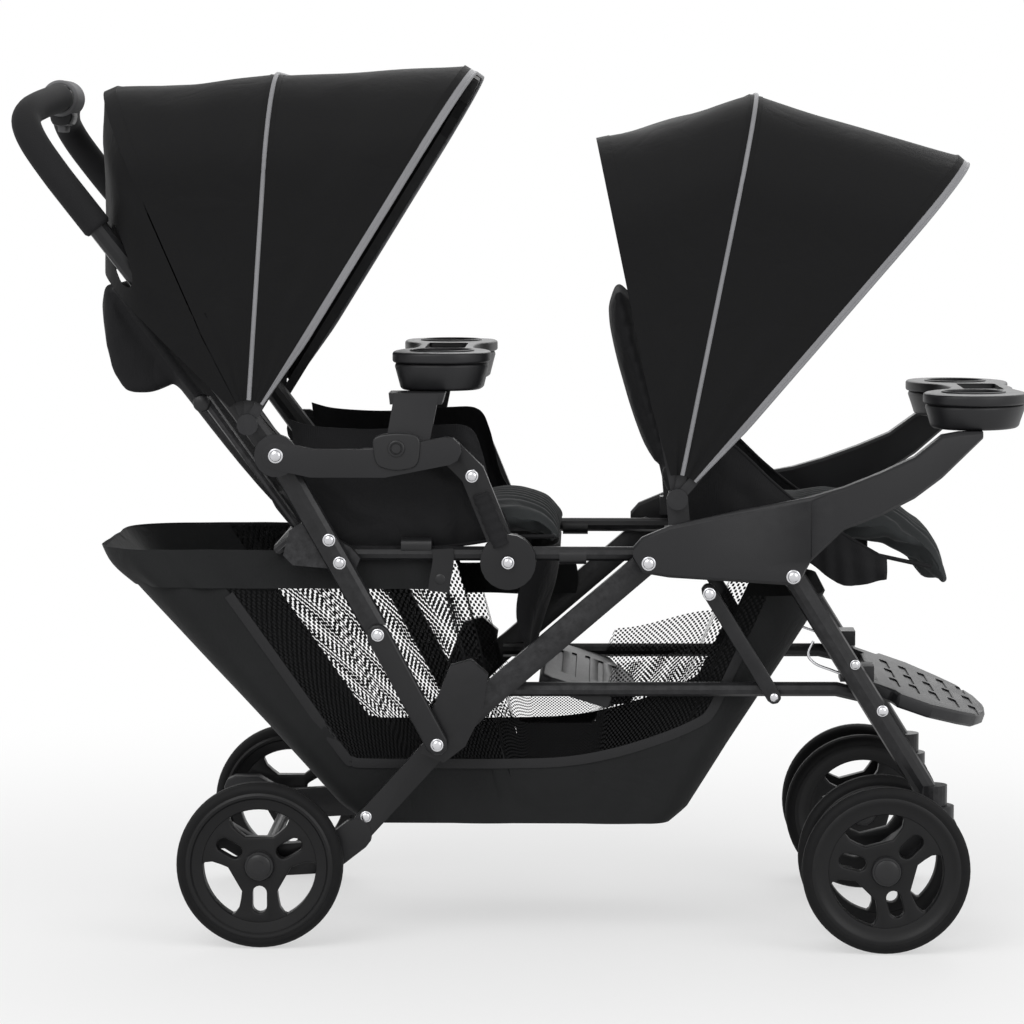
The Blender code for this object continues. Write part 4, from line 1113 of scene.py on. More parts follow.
@dataclass
class Canopy:
    """One canopy: cloth panels between three hoops, their piping, and a hanging back.

    Each hoop is an angle above +X and a reach from the pivot, in the side view.
    """

    prefix: str
    pivot: tuple[float, float]
    hoops: tuple[tuple[float, float], ...]
    base: float
    root: str
    skirt: tuple[tuple[float, float], ...] = ()
    shoulder: float = 0.12
    lead: float = 0.0024
    foot: float = 0.030
    landing: float = 0.0068
    sag: float = 0.003
    wall: float = 0.0012
    layer: float = 0.0126
    columns: int = 96

    @property
    def wide(self) -> float:
        """Half the width of the cloth."""
        return self.base + self.layer + self.lead

    def along(self, share: float, tall: float) -> tuple[float, float]:
        """A point of a hoop's cloth, from its share of the way round.

        Args:
            share: From 0 at the right foot to 1 at the left.
            tall: How far the cloth reaches from the pivot.

        Returns:
            Its place across, and its distance from the pivot.
        """
        corner = self.shoulder
        side = tall - corner - self.foot
        bend = corner * math.pi / 2
        top = 2 * (self.wide - corner)
        full = 2 * side + 2 * bend + top
        left = share > 0.5
        run = (1 - share if left else share) * full
        if run < side:
            across, reach = self.wide, self.foot + run
        elif run < side + bend:
            angle = (run - side) / corner
            across = self.wide - corner + corner * math.cos(angle)
            reach = tall - corner + corner * math.sin(angle)
        else:
            across, reach = self.wide - corner - (run - side - bend), tall
        return (across if left else -across), reach

    def spot(self, share: float, angle: float, tall: float, offset: float = 0.0) -> Vector:
        """A point of the cloth over a hoop.

        Args:
            share: From 0 at the right foot to 1 at the left.
            angle: The hoop's angle, in degrees.
            tall: How far the cloth reaches.
            offset: A step along the cloth, square to the hoop.

        Returns:
            The point.
        """
        across, reach = self.along(share, tall + self.lead)
        lean = math.radians(angle)
        out = Vector((math.cos(lean), 0.0, math.sin(lean)))
        normal = Vector((-math.sin(lean), 0.0, math.cos(lean)))
        step = -offset * min(1.0, reach / 0.12)
        return Vector((self.pivot[0], across, self.pivot[1])) + out * reach + normal * step

    def line(self, angle: float, tall: float, offset: float = 0.0) -> list[Vector]:
        """The cloth's whole line over a hoop, from the right foot to the left."""
        return [self.spot(step / self.columns, angle, tall, offset) for step in range(self.columns + 1)]

    def span(self, index: int, start: float, end: float) -> Placing:
        """How the cloth lies between two hoops.

        Args:
            index: The first hoop.
            start: Where the panel starts between them, from 0 to 1.
            end: Where it ends.

        Returns:
            The placing of a panel's points.
        """
        first, second = self.hoops[index], self.hoops[index + 1]

        def place(share: float, across: float) -> Vector:
            """Puts one point of the panel in place."""
            step = start + (end - start) * across
            low = self.spot(share, *first, offset=self.landing)
            high = self.spot(share, *second, offset=-self.landing)
            point = low.lerp(high, step)
            radial = Vector((point.x - self.pivot[0], 0.0, point.z - self.pivot[1]))
            slack = math.sin(math.pi * step)
            pull = self.sag * slack * min(1.0, radial.length / 0.4)
            fold = noise.noise(Vector((share * 9.0, step * 2.2 + index * 5.0, self.base * 40.0)))
            pucker = noise.noise(Vector((share * 34.0, step * 3.0, index * 3.0 + 9.0)))
            pull += slack * (0.0048 * fold + 0.0014 * pucker)
            inward = Vector((radial.x, point.y * 0.6, radial.z)).normalized()
            return point - inward * pull

        return place

    def build(self, finish: Finish) -> None:
        """Makes every panel, strip and trim of the canopy.

        Args:
            finish: The cloth's finish.
        """
        names = [self.root] + [
            self.prefix + "_canopy_" + part for part in ("turn", "middle", "edge_turn", "edge")
        ]
        for index in range(2):
            for half in range(2):
                self.panel(index, half, names[index * 2 + half: index * 2 + half + 2], finish)
        reach = self.landing + 0.0015
        for index, body in enumerate((names[0], names[2], names[4])):
            self.strip(index, body, finish, -reach, 0.0005 if index == 2 else reach)
            if index:
                self.piping(index, body)
        self.strip(3, names[4], PIPING_CLOTH, 0.0, reach)
        if self.skirt:
            self.hanging_back(finish)
        LOG.info("%s canopy built", self.prefix)

    def panel(self, index: int, half: int, bodies: Sequence[str], finish: Finish) -> None:
        """One half panel.

        Args:
            index: The hoop that it starts from.
            half: 0 for the half next to that hoop, 1 for the other.
            bodies: The two bodies; not used.
            finish: Its finish.
        """
        first, second = self.hoops[index], self.hoops[index + 1]
        tall = (first[1] + second[1]) / 2
        gap = math.radians(abs(first[0] - second[0])) / 2
        sides = 2 * (tall - self.shoulder - self.foot)
        size = (sides + self.shoulder * math.pi + 2 * (self.wide - self.shoulder), tall * gap)
        ends = (half / 2, (half + 1) / 2)
        bm = cloth_grid(self.columns, 10, self.span(index, *ends), size)
        cloth = self.prefix + ("_canopy_front_cloth" if index else "_canopy_cloth")
        obj = piece(f"{self.prefix}_canopy_panel_{index}_{half}", bm, finish, None, [] if half else [cloth])
        walled(obj, self.wall, None)
        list(bodies)
        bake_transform(obj)
        self.cut_area(index, *ends)

    def cut_area(self, index: int, start: float, end: float) -> float:
        """The cut area of a panel, from the taut lines between its two hoops.

        Args:
            index: The first hoop.
            start: Where the panel starts between them, from 0 to 1.
            end: Where it ends.

        Returns:
            The area in square metres.
        """
        low = self.line(*self.hoops[index], offset=self.landing)
        high = self.line(*self.hoops[index + 1], offset=-self.landing)
        return taut_area(*([a.lerp(b, share) for a, b in zip(low, high)] for share in (start, end)))

    def strip(self, index: int, body: str, finish: Finish, start: float, end: float) -> None:
        """The binding strip of cloth over one hoop.

        Args:
            index: The hoop, or 3 for the pale edge over the last one.
            body: The body that it rides on.
            finish: Its finish.
            start: Where it starts, square to the hoop.
            end: Where it ends.
        """
        angle, tall = self.hoops[min(index, 2)]

        def place(share: float, across: float) -> Vector:
            """Puts one point of the strip in place."""
            return self.spot(share, angle, tall + 0.0006, start + across * (end - start))

        bm = cloth_grid(self.columns, 2, place, (1.1, end - start))
        walled(piece(f"{self.prefix}_canopy_binding_{index}", bm, finish, None), self.wall, body)

    def piping(self, index: int, body: str) -> None:
        """The grey piping along one hoop.

        Args:
            index: The hoop.
            body: The body that it rides on.
        """
        angle, tall = self.hoops[index]
        forward = index == 2
        offset = self.landing + 0.0010 if forward else 0.0
        line = self.line(angle, tall + (0.0004 if forward else 0.0018), offset)
        bm = tube(line, 0.0021 if forward else 0.0028, 10)
        piece(f"{self.prefix}_canopy_piping_{index}", bm, PIPING_CLOTH, body)

    def hanging_back(self, finish: Finish) -> None:
        """The cloth that hangs behind the rear hoop, with its holes for the uprights.

        Args:
            finish: Its finish.
        """
        rows = [*self.skirt, self.hoops[0]]

        def place(share: float, across: float) -> Vector:
            """Puts one point of the hanging back in place."""
            step = across * (len(rows) - 1)
            index = min(len(rows) - 2, int(step))
            low = self.spot(share, *rows[index])
            ends = -self.landing if index == len(rows) - 2 else 0.0
            high = self.spot(share, *rows[index + 1], offset=ends)
            point = low.lerp(high, step - index)
            slack = math.sin(math.pi * across)
            wave = noise.noise(Vector((share * 14.0, across * 2.5, 3.0)))
            point.x += slack * 0.005 * wave
            return point

        bm = cloth_grid(self.columns, 18, place, (1.0, 0.20))
        lines = [self.line(*row) for row in rows]
        area = sum(taut_area(*pair) for pair in zip(lines, lines[1:]))
        obj = walled(piece(self.prefix + "_canopy_hanging_back", bm, finish, None), self.wall, None)
        for _, sign in SIDES:
            path = [
                Vector((-0.2968 - 0.2152 * share, sign * across, 0.6011 + 0.2729 * share))
                for share, across in ((0.28, 0.2238), (1.05, 0.2165))
            ]
            cut_away(obj, tube(path, 0.0185, 24))
        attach(obj, self.root)


@dataclass
class Wheel:
    """One wheel: tyre, rim, three raised spokes and a hub cap, about an axle point."""

    node: str
    centre: tuple[float, float, float]
    width: float
    turn: float
    outward: float
    radius: float = 0.1016
    rim: float = 0.089
    opening: float = 0.069
    slot_radius: float = 0.0088

    def build(self) -> None:
        """Makes the wheel's pieces in place of its CAD node."""
        tyre = piece(self.node + "_tyre", self.tyre(), TYRE_RUBBER, self.node, [self.node], 50.0)
        rim = piece(self.node + "_rim", self.hoop(), RIM_PLASTIC, self.node)
        piece(self.node + "_spokes", self.spokes(), RIM_PLASTIC, self.node, (), 50.0)
        piece(self.node + "_cap", self.cap(), SMOOTH_PLASTIC, self.node)
        LOG.info("%s: %s and %s", self.node, tyre.name, rim.name)

    def tyre(self) -> bmesh.types.BMesh:
        """The tyre, with two shallow grooves round its tread."""
        half = self.width / 2
        top = self.radius
        profile = [
            (self.rim - 0.001, 0.86 * half), (self.rim + 0.004, 0.97 * half), (top - 0.006, 0.93 * half),
            (top - 0.0016, 0.72 * half), (top - 0.0004, 0.46 * half), (top - 0.0016, 0.42 * half),
            (top - 0.0016, 0.36 * half), (top, 0.32 * half),
        ]
        return spun(mirrored(profile), self.centre, 72)

    def hoop(self) -> bmesh.types.BMesh:
        """The rim that holds the tyre, dished between two lips."""
        half = self.width / 2
        inner = self.opening
        profile = [
            (self.rim + 0.0008, 0.90 * half), (self.rim - 0.002, 1.0 * half), (self.rim - 0.005, 0.96 * half),
            (self.rim - 0.007, 0.80 * half), (inner + 0.006, 0.70 * half), (inner + 0.001, 0.62 * half),
            (inner, 0.52 * half),
        ]
        return spun(mirrored(profile), self.centre, 72)

    def spokes(self) -> bmesh.types.BMesh:
        """The three-armed spider, each arm with a round-ended slot."""
        x, y, z = self.centre
        angles = [self.turn + 120.0 * arm for arm in range(3)]
        outline = [point for angle in angles for point in self.arm(angle)]
        slots = [self.slot(angle) for angle in angles]
        move = [[(px + x, pz + z) for px, pz in ring] for ring in (outline, *slots)]
        half = self.width / 2
        return plate(move[0], y - 0.56 * half, y + 0.56 * half, 0.0022, move[1:], Facing.SIDE, 3)

    def arm(self, angle: float) -> list[tuple[float, float]]:
        """One arm's outline: wide at the rim, waisted towards the hub."""
        turn = Matrix.Rotation(math.radians(angle), 2)
        reach = self.opening + 0.004
        start = math.radians(-32)
        side = [(reach * math.cos(start), reach * math.sin(start))]
        side += [(0.0590, -0.0300), (0.0520, -0.0250), (0.0420, -0.0228), (0.0320, -0.0215)]
        lower = [tuple(turn @ Vector(point)) for point in side]
        rim = [
            tuple(turn @ Vector((reach * math.cos(math.radians(a)), reach * math.sin(math.radians(a)))))
            for a in (-18, -9, 0, 9, 18)
        ]
        upper = [tuple(turn @ Vector((px, -py))) for px, py in side]
        return list(reversed(lower)) + rim + upper

    def slot(self, angle: float) -> list[tuple[float, float]]:
        """The round-ended slot in one arm."""
        turn = Matrix.Rotation(math.radians(angle), 2)
        ring = []
        for centre, start in ((0.050, -90), (0.034, 90)):
            for step in range(9):
                bend = math.radians(start + step * 22.5)
                ring.append((centre + self.slot_radius * math.cos(bend), self.slot_radius * math.sin(bend)))
        return [tuple(turn @ Vector(point)) for point in ring]

    def cap(self) -> bmesh.types.BMesh:
        """The hub with its domed cap on the outer side."""
        half = self.width / 2
        sign = self.outward
        profile = [
            (0.0, -sign * 0.9 * half), (0.017, -sign * 0.9 * half), (0.0185, -sign * 0.8 * half),
            (0.0185, sign * 0.82 * half), (0.0172, sign * 0.95 * half), (0.0148, sign * 0.96 * half),
            (0.0145, sign * 1.06 * half), (0.0125, sign * 1.14 * half), (0.006, sign * 1.18 * half),
            (0.0, sign * 1.19 * half),
        ]
        return spun(profile, self.centre, 40)


@dataclass
class Fastener:
    """Domed rivets that stand on a side face."""

    radius: float = 0.0062
    height: float = 0.0032

    def rivet(self, name: str, spot: tuple[float, float], face: float, body: str, size: float = 1.0) -> None:
        """Puts a domed rivet and its washer on both sides of the stroller.

        Args:
            name: The pieces' name.
            spot: Where it stands in the side view.
            face: Distance of the face from the middle.
            body: The body that it rides on.
            size: Its scale.
        """
        radius, height = self.radius * size, self.height * size
        for side, sign in SIDES:
            profile = [(0.0, -sign * 0.002), (radius * 1.28, -sign * 0.002), (radius * 1.28, sign * 0.0004)]
            profile += [(radius * 1.18, sign * 0.0009), (radius, sign * 0.0010)]
            for step in range(1, 6):
                angle = math.radians(90 * step / 5)
                profile.append((radius * math.cos(angle), sign * (0.0010 + height * math.sin(angle))))
            profile[-1] = (0.0, profile[-1][1])
            bm = spun(profile, (spot[0], sign * face, spot[1]), 24)
            piece(f"{name}_{side}", bm, BRIGHT_STEEL, body, (), 60.0)


@dataclass
class Handle:
    """The push handle: foam grips, the round grey fold housing and its trigger."""

    grip: float = 0.0178
    housing_radius: float = 0.0228

    def path(self, sign: float) -> list[Vector]:
        """The centre line of one arm, from the top of the upright to the middle."""
        stations = (
            (-0.495, 0.215, 0.874), (-0.5235, 0.2135, 0.910), (-0.548, 0.209, 0.941), (-0.574, 0.200, 0.977),
            (-0.586, 0.184, 1.001), (-0.585, 0.158, 1.015), (-0.578, 0.115, 1.024), (-0.566, 0.046, 1.0335),
            (-0.566, 0.000, 1.0335),
        )
        return [Vector((x - CENTRE_X, sign * across, z)) for x, across, z in stations]

    def build(self) -> None:
        """Makes the sleeves, the housing and the trigger."""
        for side, sign in SIDES:
            self.sleeve(side, sign)
        self.housing()
        LOG.info("handle built")

    def sleeve(self, side: str, sign: float) -> None:
        """The foam grip over one arm, rounded at both ends.

        Args:
            side: The side's name.
            sign: Its side of the middle.
        """
        run = dense_path(self.path(sign)[:-1], 8)
        run.append(Vector((run[-1].x, sign * 0.0385, run[-1].z)))

        def girth(share: float) -> float:
            """The sleeve's radius, drawn in at the ends."""
            end = min(share, 1.0 - share) / 0.012
            return self.grip - 0.0022 * max(0.0, 1.0 - end) ** 2

        bm = swept(run, girth, girth, Vector((0.82, 0.0, 0.57)), 32)
        piece("grip_sleeve_" + side, bm, GRIP_FOAM, "push_frame", ["grip_" + side], 60.0)

    def housing(self) -> None:
        """The ribbed round housing at the middle of the handle and its squeeze trigger."""
        centre = (-0.566 - CENTRE_X, 0.0, 1.0335)
        radius = self.housing_radius
        profile = [(0.0175, -0.036), (0.0195, -0.0365), (0.0212, -0.0352)]
        for rib in range(9):
            middle = -0.030 + rib * 0.0075
            profile += [
                (radius - 0.0010, middle - 0.0034), (radius, middle - 0.0022), (radius, middle + 0.0022),
                (radius - 0.0010, middle + 0.0034),
            ]
        profile += [(0.0212, 0.0352), (0.0195, 0.0365), (0.0175, 0.036)]
        barrel = spun(profile, centre, 48)
        piece("fold_housing_shell", barrel, GREY_PLASTIC, "push_frame", ["fold_housing"], 50.0)
        skirt = [(-0.0105, -0.032), (0.0105, -0.032), (0.0118, -0.012), (-0.0118, -0.012)]
        ring = round_line([(centre[0] + x, centre[2] + z) for x, z in skirt], each=4)
        shell = piece("fold_skirt", plate(ring, -0.027, 0.027, 0.002), BLACK_PLASTIC, "push_frame")
        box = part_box("fold_button")
        middle = [(a + b) / 2 for a, b in zip(*box)]
        half = [(b - a) / 2 for a, b in zip(*box)]
        cutter = bmesh.new()
        bmesh.ops.create_cube(cutter, size=1.0)
        bmesh.ops.scale(cutter, vec=(half[0] * 2 + 0.0012, half[1] * 2 + 0.0012, 0.09), verts=cutter.verts)
        above = box[1][2] - 0.045 + 0.0075
        bmesh.ops.translate(cutter, vec=(middle[0], middle[1], above), verts=cutter.verts)
        cut_away(shell, cutter)
        ring = [
            (-half[1], half[2]), (-half[1], -half[2] * 0.4), (-half[1] * 0.8, -half[2]),
            (half[1] * 0.8, -half[2]), (half[1], -half[2] * 0.4), (half[1], half[2]),
        ]
        bm = plate(ring, -half[0], half[0], 0.0014)
        bmesh.ops.rotate(bm, verts=bm.verts, matrix=Matrix.Rotation(math.pi / 2, 3, "Z"))
        bmesh.ops.translate(bm, vec=middle, verts=bm.verts)
        piece("fold_trigger", bm, GREY_PLASTIC, "fold_button", ["fold_button"])


@dataclass
class Tray:
    """A child's or parent's tray: tapered body, raised lip, two cup wells and a dish."""

    node: str
    body: str
    half: tuple[tuple[float, float], ...]
    low: float
    high: float
    cups: tuple[float, float]
    dish: tuple[float, float, float]
    cup_radius: float = 0.036
    cup_depth: float = 0.026
    lip: float = 0.013

    def outline(self) -> list[tuple[float, float]]:
        """The whole plan outline, in the model's frame."""
        half = [(x - CENTRE_X, y) for x, y in self.half]
        return half + [(x, -y) for x, y in reversed(half[1:-1])]

    def build(self) -> None:
        """Makes the tray in place of its CAD node."""
        ring = round_line(self.outline(), each=4)
        middle = sum(x for x, _ in ring) / len(ring)
        lip = plate(ring, self.high - self.lip, self.high, 0.0032, facing=Facing.PLAN, segments=4)
        tray = piece(self.node + "_lip", lip, BLACK_PLASTIC, self.body, [self.node])
        body = self.tapered(ring, middle)
        under = piece(self.node + "_body", body, BLACK_PLASTIC, self.body)
        x, y = self.cups
        wells = [(x - CENTRE_X, sign * y) for _, sign in SIDES]
        for obj in (tray, under):
            for place in wells:
                cut_away(obj, self.well(place))
            cut_away(obj, self.recess())
            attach(obj, self.body)
        for index, place in enumerate(wells):
            self.collar(index, place)
        LOG.info("%s built", self.node)

    def tapered(self, ring: Outline, middle: float) -> bmesh.types.BMesh:
        """The body under the lip, which narrows downwards.

        Args:
            ring: The lip's outline.
            middle: The tray's middle along X.

        Returns:
            The body.
        """
        def shrunk(scale: float) -> list[tuple[float, float]]:
            """The outline drawn in towards the middle."""
            return [(middle + (x - middle) * scale, y * (1 - (1 - scale) * 0.42)) for x, y in ring]

        top = plate(shrunk(0.955), self.low, self.high - self.lip + 0.001, 0.0, facing=Facing.PLAN)
        for vert in top.verts:
            if vert.co.z < self.low + 0.0005:
                vert.co.x = middle + (vert.co.x - middle) * 0.90
                vert.co.y *= 0.955
        round_edges(top, 0.006, 4)
        return top

    def well(self, place: tuple[float, float]) -> bmesh.types.BMesh:
        """The hollow of one cup well, rounded at its floor."""
        floor = self.high - self.cup_depth
        radius = self.cup_radius
        profile = [(0.0, floor), (radius - 0.008, floor), (radius - 0.0035, floor + 0.002)]
        profile += [(radius - 0.0015, floor + 0.007), (radius, self.high)]
        profile += [(radius, self.high + 0.02), (0.0, self.high + 0.02)]
        return spun(profile, (place[0], place[1], 0.0), 48, "Z")

    def collar(self, index: int, place: tuple[float, float]) -> None:
        """The rounded lip of one cup well."""
        ring = []
        for step in range(8):
            angle = math.radians(45 * step)
            reach = self.cup_radius + 0.0018 + 0.0021 * math.cos(angle)
            ring.append((reach, self.high + 0.0021 * math.sin(angle)))
        bm = spun(ring, (place[0], place[1], 0.0), 56, "Z")
        piece(f"{self.node}_collar_{index}", bm, BLACK_PLASTIC, self.body)

    def recess(self) -> bmesh.types.BMesh:
        """The shallow dish between the wells."""
        rear, front, across = self.dish
        corners = [
            (x - CENTRE_X, y) for x, y in ((front, -across), (front, across), (rear, across), (rear, -across))
        ]
        dense = []
        for first, second in zip(corners, corners[1:] + corners[:1]):
            dense += [tuple(Vector(first).lerp(Vector(second), share)) for share in (0.08, 0.5, 0.92)]
        ring = round_line(dense, each=3)
        return plate(ring, self.high - 0.006, self.high + 0.02, 0.002, facing=Facing.PLAN)


@dataclass
class MouldedParts:
    """The solid plastic and steel pieces that keep the CAD form, with rounded edges."""

    seam: tuple[float, float] = (0.3650, 0.3664)
    cover_face: float = 0.2456

    def build(self) -> None:
        """Softens the moulded nodes and paints the tubes that stay as they are."""
        for side, sign in SIDES:
            for stem, name, finish, body, radius, segments in (
                ("armrest_", "armrest_shell_", BLACK_PLASTIC, "armrests", 0.0042, 4),
                ("front_cover_", "front_cover_shell_", BLACK_PLASTIC, "frame", 0.0038, 4),
                ("caster_", "caster_shell_", BLACK_PLASTIC, "caster_" + side, 0.0035, 3),
                ("brake_lever_", "brake_pedal_", BLACK_PLASTIC, "brake_lever_" + side, 0.003, 3),
                ("knee_link_", "knee_bar_", SATIN_STEEL, "knee_links", 0.0038, 3),
                ("arm_strut_", "arm_bar_", SATIN_STEEL, "arm_struts", 0.0038, 3),
                ("rear_leg_", "rear_leg_bar_", SATIN_STEEL, "rear_legs", 0.0034, 3),
                ("brace_", "brace_bar_", SATIN_STEEL, "braces", 0.0018, 2),
            ):
                shell = softened(stem + side, name + side, finish, body, radius, segments)
                if stem == "front_cover_":
                    self.cut_seam(shell, sign)
        tubes = ("push_handle", "seat_rail", "low_rail", "front_leg", "rear_axle", "rear_recline_tube")
        self.paint(SATIN_STEEL, *tubes)
        self.paint(BLACK_PLASTIC, "canopy_back_bow", "canopy_mid_bow", "canopy_front_bow", "canopy_cap")
        LOG.info("moulded parts built")

    def cut_seam(self, cover: bpy.types.Object, sign: float) -> None:
        """Cuts the upright seam into one front cover.

        Args:
            cover: The cover.
            sign: Its side of the middle.
        """
        rear, front = self.seam
        seam = [at(x, z) for x, z in ((rear, 0.43), (front, 0.43), (front, 0.57), (rear, 0.57))]
        low, high = sorted((sign * self.cover_face, sign * 0.26))
        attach(cut_away(cover, plate(seam, low, high, 0.0)), "frame")

    def paint(self, finish: Finish, *parts: str) -> None:
        """Gives a finish to the CAD nodes whose names hold one of the parts.

        Args:
            finish: The finish.
            parts: Parts of the nodes' names.
        """
        for name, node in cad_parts.items():
            if any(part in name for part in parts) and not node.hide_render:
                node.data.materials.clear()
                node.data.materials.append(finish.material())


@dataclass
class PadMaker:
    """Turns a plain CAD cushion into a stuffed one with a cloth simulation."""

    voxel: float = 0.0055
    pressure: float = 4.0
    most: float = 0.009
    frames: int = 20

    def make(self, node: str, name: str, finish: Finish, body: str) -> bpy.types.Object:
        """Stuffs one cushion.

        Args:
            node: The CAD node that it is made from and replaces.
            name: The new piece's name.
            finish: Its finish.
            body: The body that it rides on.

        Returns:
            The stuffed piece.
        """
        bm = bmesh.new()
        bm.from_mesh(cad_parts[node].data)
        bmesh.ops.remove_doubles(bm, verts=bm.verts, dist=0.00003)
        obj = piece(name, bm, finish, None, [node], 60.0)
        net = obj.modifiers.new("net", "REMESH")
        net.mode = "VOXEL"
        net.voxel_size = self.voxel
        applied(obj)
        self.inflate(obj)
        subdivide(obj, 1)
        applied(obj)
        smooth_faces(obj.data, 70.0)
        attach(obj, body)
        return obj

    def inflate(self, obj: bpy.types.Object) -> None:
        """Blows the cover out with pressure, and limits how far each point moves.

        Args:
            obj: The piece.
        """
        scene = bpy.context.scene
        before = [vert.co.copy() for vert in obj.data.vertices]
        cloth = obj.modifiers.new("cloth", "CLOTH")
        cloth.settings.quality = 5
        cloth.settings.mass = 0.3
        cloth.settings.use_pressure = True
        cloth.settings.uniform_pressure_force = self.pressure
        cloth.settings.tension_stiffness = 22.0
        cloth.settings.compression_stiffness = 22.0
        cloth.settings.bending_stiffness = 1.2
        cloth.settings.effector_weights.gravity = 0.0
        cloth.point_cache.frame_start = 1
        cloth.point_cache.frame_end = self.frames
        for step in range(1, self.frames + 1):
            scene.frame_set(step)
        graph = bpy.context.evaluated_depsgraph_get()
        after = obj.evaluated_get(graph).data
        moved = [vert.co - start for vert, start in zip(after.vertices, before)]
        obj.modifiers.remove(cloth)
        for vert, start, step in zip(obj.data.vertices, before, moved):
            if step.length > self.most:
                step *= self.most / step.length
            vert.co = start + step
        scene.frame_set(1)


def press_lines(obj: bpy.types.Object, lines: Callable[[Vector], float], depth: float) -> None:
    """Presses sewn lines into a pad.

    Args:
        obj: The pad.
        lines: How near a point is to a sewn line, from 0 to 1.
        depth: How deep a line goes.
    """
    mesh = obj.data
    moved = [vert.co - vert.normal * depth * max(0.0, lines(vert.co)) for vert in mesh.vertices]
    for vert, spot in zip(mesh.vertices, moved):
        vert.co = spot
    mesh.update()


def ridge(value: float, width: float) -> float:
    """A soft peak of 1 where a value is 0, down to 0 at a width."""
    return max(0.0, 1.0 - (value / width) ** 2) ** 2


@dataclass
class Seats:
    """Both seats: pleated pads, backs, side wings and the calf flap."""

    half: float = 0.165
    pleat_depth: float = 0.0058
    wing_wall: float = 0.0016
    flap_wall: float = 0.0024
    flap_width: float = 0.290

    def build(self) -> None:
        """Makes the soft pieces of both seats."""
        self.rear_pad()
        self.front_pad()
        self.backs()
        for side, sign in SIDES:
            self.rear_wing(side, sign)
            self.front_wing(side, sign)
        self.flap()
        LOG.info("seats built")

    def rear_pad(self) -> None:
        """The rear pad, its pleats drawn together at the nose."""
        pad = PadMaker().make("rear_seat_pad", "rear_pad", PAD_CLOTH, "frame")

        def pleats(spot: Vector) -> float:
            """Pleats that run along the nose."""
            ahead = (spot.x + 0.10) / 0.13
            if ahead <= 0.0 or spot.z < 0.486:
                return 0.0
            wave = spot.y / 0.036 + 0.30 * math.sin(spot.x * 30.0 + spot.y * 18.0)
            return ridge((wave % 1.0) - 0.5, 0.42) * min(1.0, ahead)

        press_lines(pad, pleats, self.pleat_depth)
        self.edge_piping("rear_pad", pad, "frame")

    def front_pad(self) -> None:
        """The front pad, its pleats spread out like a fan from the back."""
        pad = PadMaker().make("front_seat_pad", "front_pad", PAD_CLOTH, "frame")

        def pleats(spot: Vector) -> float:
            """Pleats that spread towards the nose."""
            ahead = (spot.x - 0.28) / 0.12
            if ahead <= 0.0:
                return 0.0
            spread = spot.y / (0.55 + 0.45 * min(1.0, (spot.x - 0.28) / 0.22))
            wave = spread / 0.034 + 0.25 * math.sin(spot.x * 26.0)
            return ridge((wave % 1.0) - 0.5, 0.42) * min(1.0, ahead)

        press_lines(pad, pleats, self.pleat_depth)
        self.edge_piping("front_pad", pad, "frame")

    def edge_piping(self, name: str, pad: bpy.types.Object, body: str) -> None:
        """A dark corded edge along both sides of a pad.

        Args:
            name: The pieces' name.
            pad: The pad.
            body: The body that it rides on.
        """
        points = [vert.co for vert in pad.data.vertices]
        low, high = min(p.x for p in points) + 0.004, max(p.x for p in points) - 0.003
        for side, sign in SIDES:
            line = []
            for step in range(25):
                x = low + (high - low) * step / 24
                near = [p for p in points if abs(p.x - x) < 0.006 and p.y * sign > self.half - 0.012]
                if not near:
                    continue
                middle = (min(p.z for p in near) + max(p.z for p in near)) / 2
                reach = max(p.y * sign for p in near)
                line.append(Vector((x, sign * (reach + 0.0006), middle - 0.004)))
            last = len(line) - 1
            smooth = [(line[max(0, i - 1)] + line[i] + line[min(last, i + 1)]) / 3 for i in range(last + 1)]
            piece(f"{name}_cord_{side}", tube(dense_path(smooth, 3), 0.0026, 8), BODY_CLOTH, body)

    def backs(self) -> None:
        """Both seat backs, stuffed less than the pads."""
        for name in ("rear", "front"):
            node = name + "_seat_back"
            back = PadMaker(voxel=0.006, most=0.006).make(node, name + "_back", BODY_CLOTH, node)

    def rear_wing(self, side: str, sign: float) -> None:
        """The cloth wing between the rear pad and the armrest on one side.

        Args:
            side: The side's name.
            sign: Its side of the middle.
        """
        top = (
            (-0.268, 0.640), (-0.235, 0.632), (-0.165, 0.629), (-0.090, 0.634), (-0.050, 0.632),
            (-0.034, 0.605), (-0.020, 0.550), (-0.004, 0.522),
        )
        bottom = (
            (-0.245, 0.487), (-0.215, 0.485), (-0.160, 0.484), (-0.105, 0.4845), (-0.070, 0.486),
            (-0.045, 0.489), (-0.022, 0.493), (0.004, 0.498),
        )
        upper, lower = side_path(top, 0.0, 6), side_path(bottom, 0.0, 6)

        def place(along: float, up: float) -> Vector:
            """Puts one point of the wing in place."""
            spot = on_line(lower, along).lerp(on_line(upper, along), up)
            belly = math.sin(math.pi * min(1.0, up * 1.05)) * (0.35 + 0.65 * math.sin(math.pi * along))
            slanted = along * 5.0 + up * 1.6
            crease = noise.noise(Vector((slanted + sign, up * 2.2, 4.0)))
            fine = noise.noise(Vector((slanted * 2.4, up * 4.6, 7.0 + sign)))
            across = 0.1740 + 0.008 * belly + (0.013 * crease + 0.005 * fine) * (0.25 + 0.75 * belly)
            across = min(across, 0.1925)
            return Vector((spot.x, sign * across, spot.z))

        bm = cloth_grid(64, 26, place, (0.28, 0.15))
        wing = walled(piece("rear_wing_" + side, bm, BODY_CLOTH, "frame"), self.wing_wall, "frame")
        hem = [place(step / 40, 0.0) + Vector((0.0, sign * 0.001, 0.0)) for step in range(41)]
        cord = piece("rear_wing_hem_" + side, tube(hem, 0.0021, 8), BODY_CLOTH, "frame")
        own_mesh(wing)
        taut_area(upper, lower)

